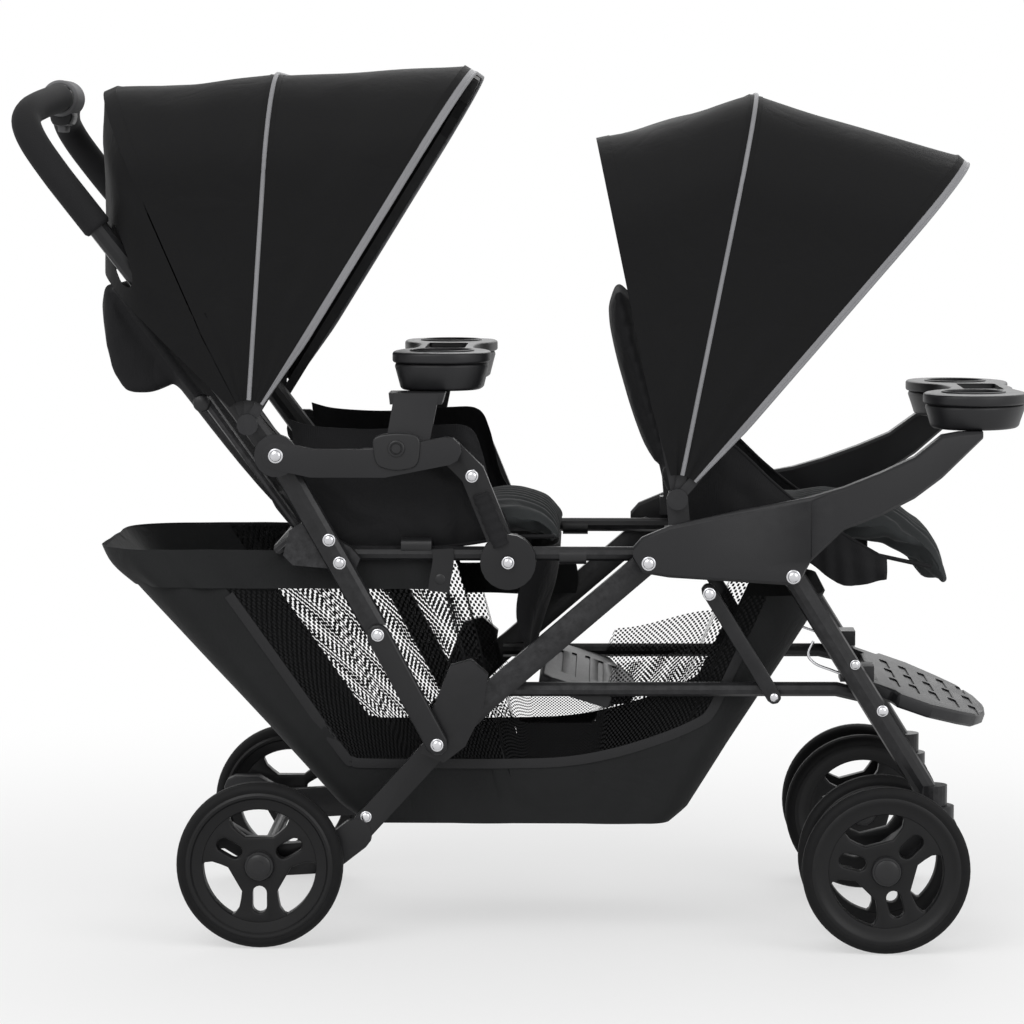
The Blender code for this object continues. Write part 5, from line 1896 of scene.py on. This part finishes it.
    def front_wing(self, side: str, sign: float) -> None:
        """The cloth side of the front seat, from the back down to the cover.

        Args:
            side: The side's name.
            sign: Its side of the middle.
        """
        top = (
            (0.208, 0.640), (0.245, 0.632), (0.285, 0.600), (0.325, 0.562), (0.365, 0.530), (0.410, 0.500),
            (0.462, 0.470),
        )
        bottom = (
            (0.215, 0.505), (0.250, 0.500), (0.290, 0.496), (0.325, 0.490), (0.365, 0.468), (0.410, 0.438),
            (0.462, 0.446),
        )
        upper, lower = side_path(top, 0.0, 6), side_path(bottom, 0.0, 6)

        def place(along: float, up: float) -> Vector:
            """Puts one point of the side cloth in place."""
            spot = on_line(lower, along).lerp(on_line(upper, along), up)
            belly = math.sin(math.pi * up)
            wave = 0.0034 * math.sin(along * 84.0 + 2.0 * up) * (1.0 - 0.6 * up)
            gather = wave * max(0.0, along - 0.5) * 2.0
            crease = 0.004 * noise.noise(Vector((along * 6.0, up * 3.0, 8.0 + sign)))
            return Vector((spot.x, sign * (0.1715 + 0.006 * belly + gather + crease * belly), spot.z))

        bm = cloth_grid(72, 22, place, (0.27, 0.13))
        wing = walled(piece("front_wing_" + side, bm, BODY_CLOTH, "frame"), self.wing_wall, "frame")
        edge = [place(step / 40, 1.0) for step in range(41)]
        cord = piece("front_wing_hem_" + side, tube(edge, 0.0021, 8), BODY_CLOTH, "frame")
        for obj in (wing, cord):
            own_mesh(obj)
        taut_area(upper, lower)

    def flap(self) -> None:
        """The calf flap that hangs from the nose of the rear pad."""
        spine = side_path(((0.0608, 0.4807), (0.055, 0.435), (0.038, 0.385), (0.026, 0.348)), 0.0, 8)

        def place(across: float, down: float) -> Vector:
            """Puts one point of the flap in place."""
            spot = on_line(spine, down)
            wave = 0.0045 * math.sin(across * 26.0 + 1.2 * down) * down
            hollow = 0.35 + 0.65 * math.sin(math.pi * min(1.0, down + 0.15))
            swept_back = 0.042 * abs(2.0 * across - 1.0) ** 5 * hollow
            return Vector((spot.x + wave - swept_back, (across - 0.5) * self.flap_width, spot.z))

        bm = cloth_grid(72, 20, place, (0.315, 0.138))
        flap = piece("rear_calf_flap", bm, BODY_CLOTH, "frame", ["calf_flap"])
        walled(flap, self.flap_wall, "frame")
        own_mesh(flap)


@dataclass
class Basket:
    """The storage basket: net sides, a dark floor and ends, and a ruffled band round its rim.
    """

    floor_half: tuple[float, float, float] = (0.190, 0.1677, 0.030)
    rim_half: tuple[float, float, float] = (0.4475, 0.1777, 0.075)
    low: float = 0.140
    net_low: float = 0.216
    rear_top: float = 0.478
    front_top: float = 0.425
    wall: float = 0.0012
    areas: tuple[float, float] = (0.402, 0.177)
    columns: int = 336
    rows: int = 46
    end_steps: int = 24
    corner_steps: int = 16
    loops: tuple[list[Vector], ...] = ()

    @property
    def side_steps(self) -> int:
        """How many steps of the loop lie along one side."""
        return (self.columns - 2 * self.end_steps - 4 * self.corner_steps) // 2

    def build(self) -> None:
        """Makes the basket in place of its CAD node."""
        self.loops = (self.loop(*self.floor_half), self.loop(*self.rim_half))
        cloth, net = self.areas
        self.part(
            "basket_sides", BASKET_CLOTH, lambda spot: not self.netted(spot), ["basket"], (1.9, 0.34), cloth
        )
        self.part("basket_net", BASKET_NET, self.netted, [], (1.2, 0.26), net)
        self.floor_sheet()
        self.band()
        for side, sign in SIDES:
            self.tape(side, sign)
        LOG.info("basket built")

    def loop(self, half_x: float, half_y: float, corner: float) -> list[Vector]:
        """A rounded rectangle in plan, with the same count of points on each part of it.

        Args:
            half_x: Half its length.
            half_y: Half its width.
            corner: Radius of its corners.

        Returns:
            Its points, from the middle of the front round to the left, the rear and the right.
        """
        across, bend, along = self.end_steps, self.corner_steps, self.side_steps
        points = []
        flat_x, flat_y = half_x - corner, half_y - corner
        parts = (
            ((half_x, -flat_y), (half_x, flat_y), across), ((flat_x, flat_y), 0.0, bend),
            ((flat_x, half_y), (-flat_x, half_y), along), ((-flat_x, flat_y), 90.0, bend),
            ((-half_x, flat_y), (-half_x, -flat_y), across), ((-flat_x, -flat_y), 180.0, bend),
            ((-flat_x, -half_y), (flat_x, -half_y), along), ((flat_x, -flat_y), 270.0, bend),
        )
        for first, second, count in parts:
            for step in range(count):
                share = step / count
                if isinstance(second, tuple):
                    points.append(Vector(first).lerp(Vector(second), share))
                else:
                    turn = math.radians(second + 90.0 * share)
                    points.append(Vector(first) + Vector((math.cos(turn), math.sin(turn))) * corner)
        return points

    def top(self, x: float) -> float:
        """The height of the basket's top edge in the side view at a place along it."""
        for (first, low), (second, high) in zip(BASKET_TOP, BASKET_TOP[1:]):
            if x <= second:
                share = max(0.0, (x - first) / (second - first))
                return low + (high - low) * share * share * (3 - 2 * share)
        return BASKET_TOP[-1][1]

    def rim_height(self, x: float) -> float:
        """The height that the wall is drawn up to at a place along it."""
        return self.rear_top if x < -0.1 else self.front_top

    def wall_spot(self, index: int, share: float) -> Vector:
        """A point of the tub's wall, before its top edge is cut to its line.

        Args:
            index: The point round the loop.
            share: From 0 at the floor to 1 at the rim's height.

        Returns:
            The point.
        """
        floor, rim = (loop[index % self.columns] for loop in self.loops)
        low_x, high_x = floor.x + 0.008 - CENTRE_X, rim.x - 0.0575 - CENTRE_X
        top = self.rim_height(high_x)
        bulge = math.copysign(0.010 * min(1.0, share / 0.06) * (1.0 - share) ** 0.4, floor.x)
        x = low_x + (high_x - low_x) * share + bulge * min(1.0, abs(floor.x) / 0.12)
        y = floor.y + (rim.y - floor.y) * min(1.0, share * 3)
        fold = noise.noise(Vector((x * 7.0, y * 7.0, share * 2.4)))
        sway = 0.0038 * fold * math.sin(math.pi * min(1.0, share))
        across = max(-0.1782, min(0.1782, y + math.copysign(sway, y)))
        return Vector((x, across, self.low + 0.001 + (top - self.low) * share))

    def between(self, index: float, share: float) -> Vector:
        """A point of the tub's wall between two points of the loop.

        Args:
            index: The place round the loop, in points.
            share: From 0 at the floor to 1 at the rim's height.

        Returns:
            The point.
        """
        base = math.floor(index)
        return self.wall_spot(base, share).lerp(self.wall_spot(base + 1, share), index - base)

    def spot(self, round_share: float, up: float) -> Vector:
        """A point of the wall below its top edge.

        Args:
            round_share: From 0 to 1 round the loop.
            up: From 0 at the floor to 1 at the top edge.

        Returns:
            The point.
        """
        index = round(round_share * self.columns)
        low, high = 0.0, 1.0
        for _ in range(12):
            middle = (low + high) / 2
            trial = self.wall_spot(index, middle)
            if trial.z > self.top(trial.x):
                high = middle
            else:
                low = middle
        return self.wall_spot(index, up * low)

    def on_wall(self, sign: float, x: float, z: float) -> Vector:
        """The wall's point at a place in the side view.

        Args:
            sign: The side of the middle.
            x: The place along the stroller, in the model's frame.
            z: Its height.

        Returns:
            The point.
        """
        across, bend, along = self.end_steps, self.corner_steps, self.side_steps
        start = across + bend if sign > 0 else 2 * across + 3 * bend + along
        share = (z - self.low) / (self.rim_height(x) - self.low)
        low, high = float(start), float(start + along)
        for _ in range(14):
            middle = (low + high) / 2
            if (self.between(middle, share).x > x) == (sign > 0):
                low = middle
            else:
                high = middle
        return self.between(low, share)

    def tape(self, side: str, sign: float) -> None:
        """The binding tape sewn over the seam between the net and the cloth.

        Args:
            side: The side's name.
            sign: Its side of the middle.
        """
        seam = (
            (-0.3440, 0.4240), (-0.2700, 0.3200), (-0.2050, 0.2280), (-0.1930, 0.2180), (-0.1750, 0.2155),
            (-0.1000, 0.2155), (0.0000, 0.2160), (0.0700, 0.2190), (0.1300, 0.2300), (0.1900, 0.2490),
            (0.2330, 0.2680), (0.2480, 0.2810), (0.2660, 0.3150), (0.2850, 0.3570),
        )
        line = [self.on_wall(sign, x - CENTRE_X, z) for x, z in seam]
        path = [point + Vector((0.0, sign * 0.0009, 0.0)) for point in dense_path(line, 8)]
        bm = swept(path, lambda _: 0.0008, lambda _: 0.0056, facets=12, squareness=0.8)
        tape = piece("basket_tape_" + side, bm, WEBBING, None, (), 50.0)
        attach(tape, "frame")
        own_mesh(tape)
        length = sum((b - a).length for a, b in zip(path, path[1:]))

    def netted(self, spot: Vector) -> bool:
        """Whether a place on the basket's wall is net and not cloth."""
        station = spot.x + CENTRE_X
        rear = -0.345 + 0.714 * (0.428 - spot.z)
        front = 0.250 + 0.45 * (spot.z - 0.28)
        step = min(1.0, max(0.0, (station - 0.02) / 0.23))
        floor = self.net_low + 0.060 * step * step
        return abs(spot.y) > 0.150 and spot.z > floor and rear < station < front

    def part(
        self, name: str, finish: Finish, kept: Callable[[Vector], bool], stands_for: list[str],
        flat: tuple[float, float], area: float,
    ) -> None:
        """One part of the wall.

        Args:
            name: The piece's name.
            finish: Its finish.
            kept: Which of the wall's faces belong to it, by their middles.
            stands_for: The CAD nodes that it replaces.
            flat: The size of the cloth it was cut from.
            area: The area of its cut, in square metres.
        """
        bm = cloth_grid(self.columns, self.rows, self.spot, (1.9, 0.34), wrap=True)
        gone = [face for face in bm.faces if not kept(face.calc_center_median()) or face.calc_area() < 1e-9]
        bmesh.ops.delete(bm, geom=gone, context="FACES")
        self.finish(piece(name, bm, finish, None, stands_for), flat, area)

    def finish(self, obj: bpy.types.Object, flat: tuple[float, float], area: float | None = None) -> None:
        """Gives a part its wall and lets it ride on the frame.

        Args:
            obj: The part.
            flat: The size of the cloth it was cut from; not used.
            area: The area of its cut in square metres, or None for a whole rectangle; not used.
        """
        walled(obj, self.wall, "frame")
        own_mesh(obj)

    def floor_sheet(self) -> None:
        """The dark floor."""
        floor = self.loops[0]

        def place(round_share: float, inward: float) -> Vector:
            """Puts one point of the floor in place."""
            edge = floor[round(round_share * self.columns) % self.columns]
            scale = 1.0 - 0.985 * inward
            dip = 0.0006 * math.sin(edge.x * 40.0 * scale)
            return Vector((edge.x * scale + 0.008 - CENTRE_X, edge.y * scale, self.low + 0.0015 + dip))

        bm = cloth_grid(self.columns, 10, place, (0.40, 0.35), wrap=True)
        half_x, half_y, corner = self.floor_half
        cut = 4 * half_x * half_y - (4 - math.pi) * corner ** 2
        self.finish(piece("basket_floor", bm, BASKET_CLOTH, None), (0.40, 0.35), cut)

    def band(self) -> None:
        """The ruffled band round the rim behind the seat's uprights."""
        start, end = 0.225, 0.775

        def place(round_share: float, up: float) -> Vector:
            """Puts one point of the band in place."""
            along = start + (end - start) * round_share
            rim, low = (self.between(along * self.columns, share) for share in (1.0, 0.86))
            spot = low.lerp(rim, up)
            out = Vector((rim.x + 0.06, rim.y, 0.0)).normalized()
            ruffle = math.sin(along * 190.0 + 1.3 * math.sin(along * 61.0)) * (0.9 - 0.7 * up)
            slow = noise.noise(Vector((along * 22.0, up * 1.4, 5.0)))
            puff = 0.0062 * math.sin(math.pi * up) + 0.0014 + 0.004 * slow
            spot += Vector((out.x, out.y * 0.4, 0.0)) * (puff + 0.0030 * ruffle)
            spot.y = max(-0.1840, min(0.1840, spot.y + math.copysign(0.0026 + 0.0018 * ruffle, spot.y)))
            return Vector((spot.x, spot.y, spot.z + 0.0016 + 0.0012 * slow))

        bm = cloth_grid(360, 8, place, (1.30, 0.055))
        self.finish(piece("basket_band", bm, BASKET_CLOTH, None), (1.30, 0.055))


BASKET_TOP = [(x - CENTRE_X, z) for x, z in (
    (-0.600, 0.478), (-0.262, 0.478), (-0.225, 0.455), (-0.050, 0.452), (-0.018, 0.300), (0.020, 0.268),
    (0.100, 0.268), (0.134, 0.342), (0.262, 0.366), (0.292, 0.425), (0.600, 0.425),
)]


@dataclass
class Footrest:
    """A sloped footrest: the CAD panel with rounded edges and long grooves sunk in its top."""

    node: str
    body: str
    pivot: tuple[float, float]
    slope: float
    grooves: Sequence[tuple[float, float, float, float]]
    depth: float = 0.0022

    def build(self) -> None:
        """Makes the footrest in place of its CAD node."""
        shell = softened(self.node, self.node + "_shell", BLACK_PLASTIC, self.body, 0.0032, 3)
        cut_away(shell, self.cutter(shell))
        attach(shell, self.body)
        LOG.info("%s built with %d grooves", self.node, len(self.grooves))

    def cutter(self, shell: bpy.types.Object) -> bmesh.types.BMesh:
        """All the grooves as one form, sunk below the panel's top.

        Args:
            shell: The panel that they are cut from.

        Returns:
            The form.
        """
        turn = math.radians(self.slope)
        up = Vector((math.sin(turn), 0.0, math.cos(turn)))
        base = Vector((self.pivot[0], 0.0, self.pivot[1]))
        top = max((vert.co - base).dot(up) for vert in shell.data.vertices if abs(vert.co.y) < 0.12)
        rings = [self.ring(*groove) for groove in self.grooves]
        bm = plate(rings[0], top - self.depth, top + 0.01, 0.0, rings[1:], Facing.PLAN)
        bmesh.ops.rotate(bm, verts=bm.verts, matrix=Matrix.Rotation(turn, 3, "Y"))
        bmesh.ops.translate(bm, vec=base, verts=bm.verts)
        return bm

    def ring(self, x: float, y: float, long: float, wide: float) -> list[tuple[float, float]]:
        """The outline of one groove, round at both ends and long along Y.

        Args:
            x: Its middle along the slope.
            y: Its middle across the stroller.
            long: Its length.
            wide: Its width.

        Returns:
            The outline.
        """
        half, radius = long / 2 - wide / 2, wide / 2
        ring = []
        for middle, start in ((y + half, 0), (y - half, 180)):
            for step in range(9):
                angle = math.radians(start + step * 22.5)
                ring.append((x + radius * math.cos(angle), middle + radius * math.sin(angle)))
        return ring


def front_grooves() -> list[tuple[float, float, float, float]]:
    """The front footrest's oval grooves, in rows of three."""
    return [
        (0.028 + 0.026 * row, y, 0.076 if row < 4 else 0.06, 0.011)
        for row in range(5) for y in (-0.088, 0.0, 0.088)
    ]


def middle_grooves() -> list[tuple[float, float, float, float]]:
    """The middle footrest's long flutes."""
    return [(0.022 + 0.018 * row, 0.0, 0.25 - 0.02 * abs(row - 2), 0.007) for row in range(5)]


@dataclass
class Details:
    """The small parts on the frame: rivets, brackets, sleeves, straps, hooks, knobs and the harness."""

    link_face: float = 0.2452
    upright_face: float = 0.2318
    cover_face: float = 0.2466
    leg_face: float = 0.2155
    front_leg_face: float = 0.2275
    brace_face: float = 0.2060
    rail_y: float = 0.1900

    def build(self) -> None:
        """Makes every small part."""
        self.fasteners()
        for side, sign in SIDES:
            self.bracket(side, sign)
            self.strut_cover(side, sign)
            self.strap(side, sign)
            self.hook(side, sign)
            self.rail_sleeve(side, sign)
            self.knob(side, sign)
        self.harness()
        LOG.info("details built")

    def fasteners(self) -> None:
        """Rivets at the pivots."""
        for name, spot, face, body, size in (
            ("armrest", (-0.2799, 0.6011), self.link_face, "armrests", 1.15),
            ("upright", (-0.204, 0.4701), self.upright_face, "push_frame", 1.0),
            ("upright_upper", (-0.2167, 0.4979), self.upright_face, "push_frame", 1.0),
            ("knee", (-0.1572, 0.3838), self.link_face, "knee_links", 1.0),
            ("link_end", (-0.0856, 0.2497), self.link_face, "knee_links", 1.0),
            ("strut_foot", (0.0001, 0.4708), self.upright_face, "arm_struts", 1.0),
            ("strut_elbow", (-0.043, 0.577), self.link_face, "arm_struts", 1.0),
            ("rear_leg", (0.1703, 0.4717), self.cover_face, "frame", 1.1),
            ("front_leg", (0.3447, 0.4561), self.cover_face, "frame", 1.1),
            ("cover_low", (0.2436, 0.4351), self.cover_face, "frame", 1.0),
            ("brace_foot", (0.324, 0.3043), self.brace_face, "braces", 0.9),
            ("leg_upper", (0.421, 0.3472), self.front_leg_face, "front_legs", 0.8),
            ("leg_lower", (0.4545, 0.2907), self.front_leg_face, "front_legs", 0.9),
            ("axle", (-0.1741, 0.1564), self.leg_face, "rear_legs", 0.9),
        ):
            Fastener().rivet("rivet_" + name, at(*spot), face, body, size)

    def bracket(self, side: str, sign: float) -> None:
        """The clamp and the elbow under the armrest.

        Args:
            side: The side's name.
            sign: Its side of the middle.
        """
        clamp = round_line([
            at(-0.160, 0.624), at(-0.134, 0.629), at(-0.108, 0.625), at(-0.1055, 0.606), at(-0.110, 0.590),
            at(-0.124, 0.5845), at(-0.142, 0.5845), at(-0.157, 0.591), at(-0.1615, 0.607),
        ], each=4)
        low, high = sorted((sign * 0.2405, sign * 0.2482))
        bm = plate(clamp, low, high, 0.0026, segments=3)
        piece("arm_clamp_" + side, bm, SMOOTH_PLASTIC, "armrests", (), 50.0)
        steps = (
            (0.0, 0.247), (0.0105, 0.247), (0.0105, 0.2492), (0.0095, 0.2502), (0.0075, 0.2502),
            (0.0070, 0.2492), (0.0062, 0.2492), (0.0056, 0.2506), (0.0, 0.2510),
        )
        profile = [(radius, sign * out) for radius, out in steps]
        bm = spun(profile, (-0.1339 - CENTRE_X, 0.0, 0.6105), 28)
        piece("arm_clamp_button_" + side, bm, SMOOTH_PLASTIC, "armrests", (), 50.0)

    def strut_cover(self, side: str, sign: float) -> None:
        """The cloth sleeve round the strut's lower part.

        Args:
            side: The side's name.
            sign: Its side of the middle.
        """
        run = ((-0.0335, 0.554), (-0.0265, 0.537), (-0.0165, 0.512), (-0.008, 0.491))
        path = side_path(run, sign * 0.2216, 7)

        def girth(share: float) -> float:
            """The sleeve's half size, gathered at both ends."""
            return 0.0112 + 0.0007 * math.sin(share * 40.0) - 0.0012 * abs(2 * share - 1) ** 6

        bm = swept(path, lambda share: girth(share) * 0.95, girth, facets=24, squareness=0.25)
        piece("strut_sleeve_" + side, bm, BODY_CLOTH, "arm_struts", (), 60.0)

    def strap(self, side: str, sign: float) -> None:
        """The snap strap round the rail that carries the basket, and the light tab behind it.

        Args:
            side: The side's name.
            sign: Its side of the middle.
        """
        run = ((-0.0800, 0.4845), (-0.0795, 0.470), (-0.0815, 0.456), (-0.0835, 0.446), (-0.0850, 0.432))
        path = side_path(run, sign * 0.2012, 5)
        bm = swept(path, lambda _: 0.0007, lambda _: 0.0120, facets=16, squareness=0.9)
        strap = piece("basket_strap_" + side, bm, WEBBING, "frame", (), 50.0)
        steps = ((0.0, 0.2010), (0.0062, 0.2010), (0.0062, 0.2022), (0.0050, 0.2030), (0.0, 0.2034))
        snap = spun([(radius, sign * out) for radius, out in steps], (-0.0832 - CENTRE_X, 0.0, 0.4475), 24)
        piece("basket_snap_" + side, snap, SMOOTH_PLASTIC, "frame")
        ring = [at(-0.2456, 0.4655), at(-0.2456, 0.4870), at(-0.2215, 0.4870), at(-0.2215, 0.4655)]
        low, high = sorted((sign * 0.2000, sign * 0.2012))
        piece("basket_tab_" + side, plate(ring, low, high, 0.0004), GREY_WEBBING, "frame")

    def hook(self, side: str, sign: float) -> None:
        """The bright wire hook below the cover.

        Args:
            side: The side's name.
            sign: Its side of the middle.
        """
        path = dense_path([
            (x - CENTRE_X, sign * y, z) for x, y, z in (
                (0.372, 0.196, 0.372), (0.3655, 0.197, 0.3560), (0.3745, 0.197, 0.3445),
                (0.392, 0.197, 0.3375), (0.408, 0.197, 0.3325), (0.4150, 0.197, 0.3365),
            )
        ], 6)
        piece("wire_hook_" + side, tube(path, 0.0017, 12), BRIGHT_STEEL, "front_legs")

    def knob(self, side: str, sign: float) -> None:
        """The round end cap of the recline frame.

        Args:
            side: The side's name.
            sign: Its side of the middle.
        """
        turn = math.radians(127.6)
        spot = (at(-0.2524, 0.0)[0] + 0.199 * math.cos(turn), 0.5038 + 0.199 * math.sin(turn))
        profile = [(0.0, -0.009), (0.0085, -0.009), (0.0104, -0.0072), (0.0110, -0.003)]
        bm = spun(mirrored(profile), (spot[0], sign * self.rail_y, spot[1]), 28)
        piece("recline_knob_" + side, bm, SMOOTH_PLASTIC, "rear_back_hinge", (), 50.0)

    def rail_sleeve(self, side: str, sign: float) -> None:
        """The plastic collars on the seat rail.

        Args:
            side: The side's name.
            sign: Its side of the middle.
        """
        for index, (start, end) in enumerate(((-0.131, -0.094), (0.062, 0.095))):
            line = [
                Vector((start + (end - start) * step / 4 - CENTRE_X, sign * self.rail_y, 0.0))
                for step in range(5)
            ]
            for point in line:
                point.z = rail_height(side, point.x)
            bm = swept(line, lambda _: 0.0098, lambda _: 0.0098, facets=28)
            piece(f"rail_collar_{index}_{side}", bm, SMOOTH_PLASTIC, "frame", (), 50.0)

    def harness(self) -> None:
        """The shoulder straps laid on both seat backs."""
        for prefix, base, body, lean, reach in (
            ("rear", (-0.2524, 0.5038), "rear_seat_back", 127.6, 0.26),
            ("front", (0.205, 0.548), "front_seat_back", 106.0, 0.21),
        ):
            turn = math.radians(lean)
            for side, sign in SIDES:
                line = []
                for step in range(9):
                    along = 0.05 + (reach - 0.05) * step / 8
                    off = 0.0245 + 0.002 * math.sin(step * 1.3)
                    x = base[0] + along * math.cos(turn) + off * math.sin(turn)
                    z = base[1] + along * math.sin(turn) - off * math.cos(turn)
                    line.append(Vector((x - CENTRE_X, sign * (0.035 + 0.02 * step / 8), z)))
                path = dense_path(line, 3)
                bm = swept(path, lambda _: 0.0125, lambda _: 0.0009, facets=16, squareness=0.9)
                strap = piece(f"{prefix}_strap_{side}", bm, WEBBING, body, (), 50.0)


def rail_height(side: str, x: float) -> float:
    """The middle height of the seat rail at a place along it.

    Args:
        side: The side's name.
        x: The place, in the model's frame.

    Returns:
        Its height.
    """
    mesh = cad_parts["seat_rail_" + side].data
    for reach in (0.004, 0.01, 0.03, 0.2):
        near = [
            vert.co.z for vert in mesh.vertices
            if abs(vert.co.x - x) < reach and abs(abs(vert.co.y) - 0.190) < 0.0095
        ]
        if len(near) > 3 and max(near) - min(near) > 0.012:
            return (max(near) + min(near)) / 2
    return 0.475


def wheels() -> None:
    """Builds all six wheels."""
    for side, sign in SIDES:
        Wheel("rear_wheel_" + side, (at(-0.302, 0.0)[0], sign * 0.240, 0.1016), 0.034, 30.0, sign).build()
        for place, y, outward in (("outer", 0.2618, sign), ("inner", 0.1648, -sign)):
            name = f"front_wheel_{side}_{place}"
            Wheel(name, (at(0.458, 0.0)[0], sign * y, 0.1016), 0.028, 45.0, outward).build()


def trays() -> None:
    """Builds the rear and the front tray."""
    rear = (
        (-0.048, 0.0), (-0.045, 0.06), (-0.030, 0.095), (-0.0225, 0.14), (-0.030, 0.185), (-0.055, 0.208),
        (-0.085, 0.2145), (-0.118, 0.207), (-0.139, 0.185), (-0.143, 0.14), (-0.136, 0.095), (-0.122, 0.06),
        (-0.118, 0.0),
    )
    front = (
        (0.6307, 0.0), (0.6282, 0.04), (0.6342, 0.09), (0.6367, 0.13), (0.6267, 0.165), (0.6047, 0.192),
        (0.5747, 0.205), (0.5447, 0.203), (0.5207, 0.186), (0.5082, 0.15), (0.5107, 0.11), (0.5247, 0.075),
        (0.5447, 0.045), (0.5517, 0.0),
    )
    Tray("rear_tray", "armrests", rear, 0.6766, 0.7232, (-0.083, 0.142), (-0.108, -0.058, 0.07)).build()
    Tray("front_tray", "frame", front, 0.6288, 0.672, (0.5702, 0.125), (0.5657, 0.6147, 0.065)).build()


def canopies() -> None:
    """Builds both canopies."""
    rear_bows = ((113.4, 0.438), (86.0, 0.4195), (58.2, 0.5013))
    rear_skirt = ((135.3, 0.2555), (126.1, 0.306), (118.0, 0.3896))
    front_bows = ((101.8, 0.4432), (78.8, 0.4934), (49.4, 0.5359))
    Canopy("rear", at(-0.3136, 0.6387), rear_bows, 0.2319, "push_frame", rear_skirt).build(CANOPY_CLOTH)
    Canopy("front", at(0.205, 0.548), front_bows, 0.2156, "front_back_hinge").build(CANOPY_CLOTH)


def main() -> None:
    """Builds the stroller in order."""
    logging.basicConfig(level=logging.INFO, format="%(message)s")
    Studio().build()
    MouldedParts().build()
    wheels()
    trays()
    Handle().build()
    Footrest("front_footrest", "front_legs", at(0.453, 0.3165), 19.0, front_grooves()).build()
    Footrest("mid_footrest", "low_rails", at(0.040, 0.3285), 17.0, middle_grooves()).build()
    canopies()
    Seats().build()
    Basket().build()
    Details().build()


if __name__ == "__main__":
    main()
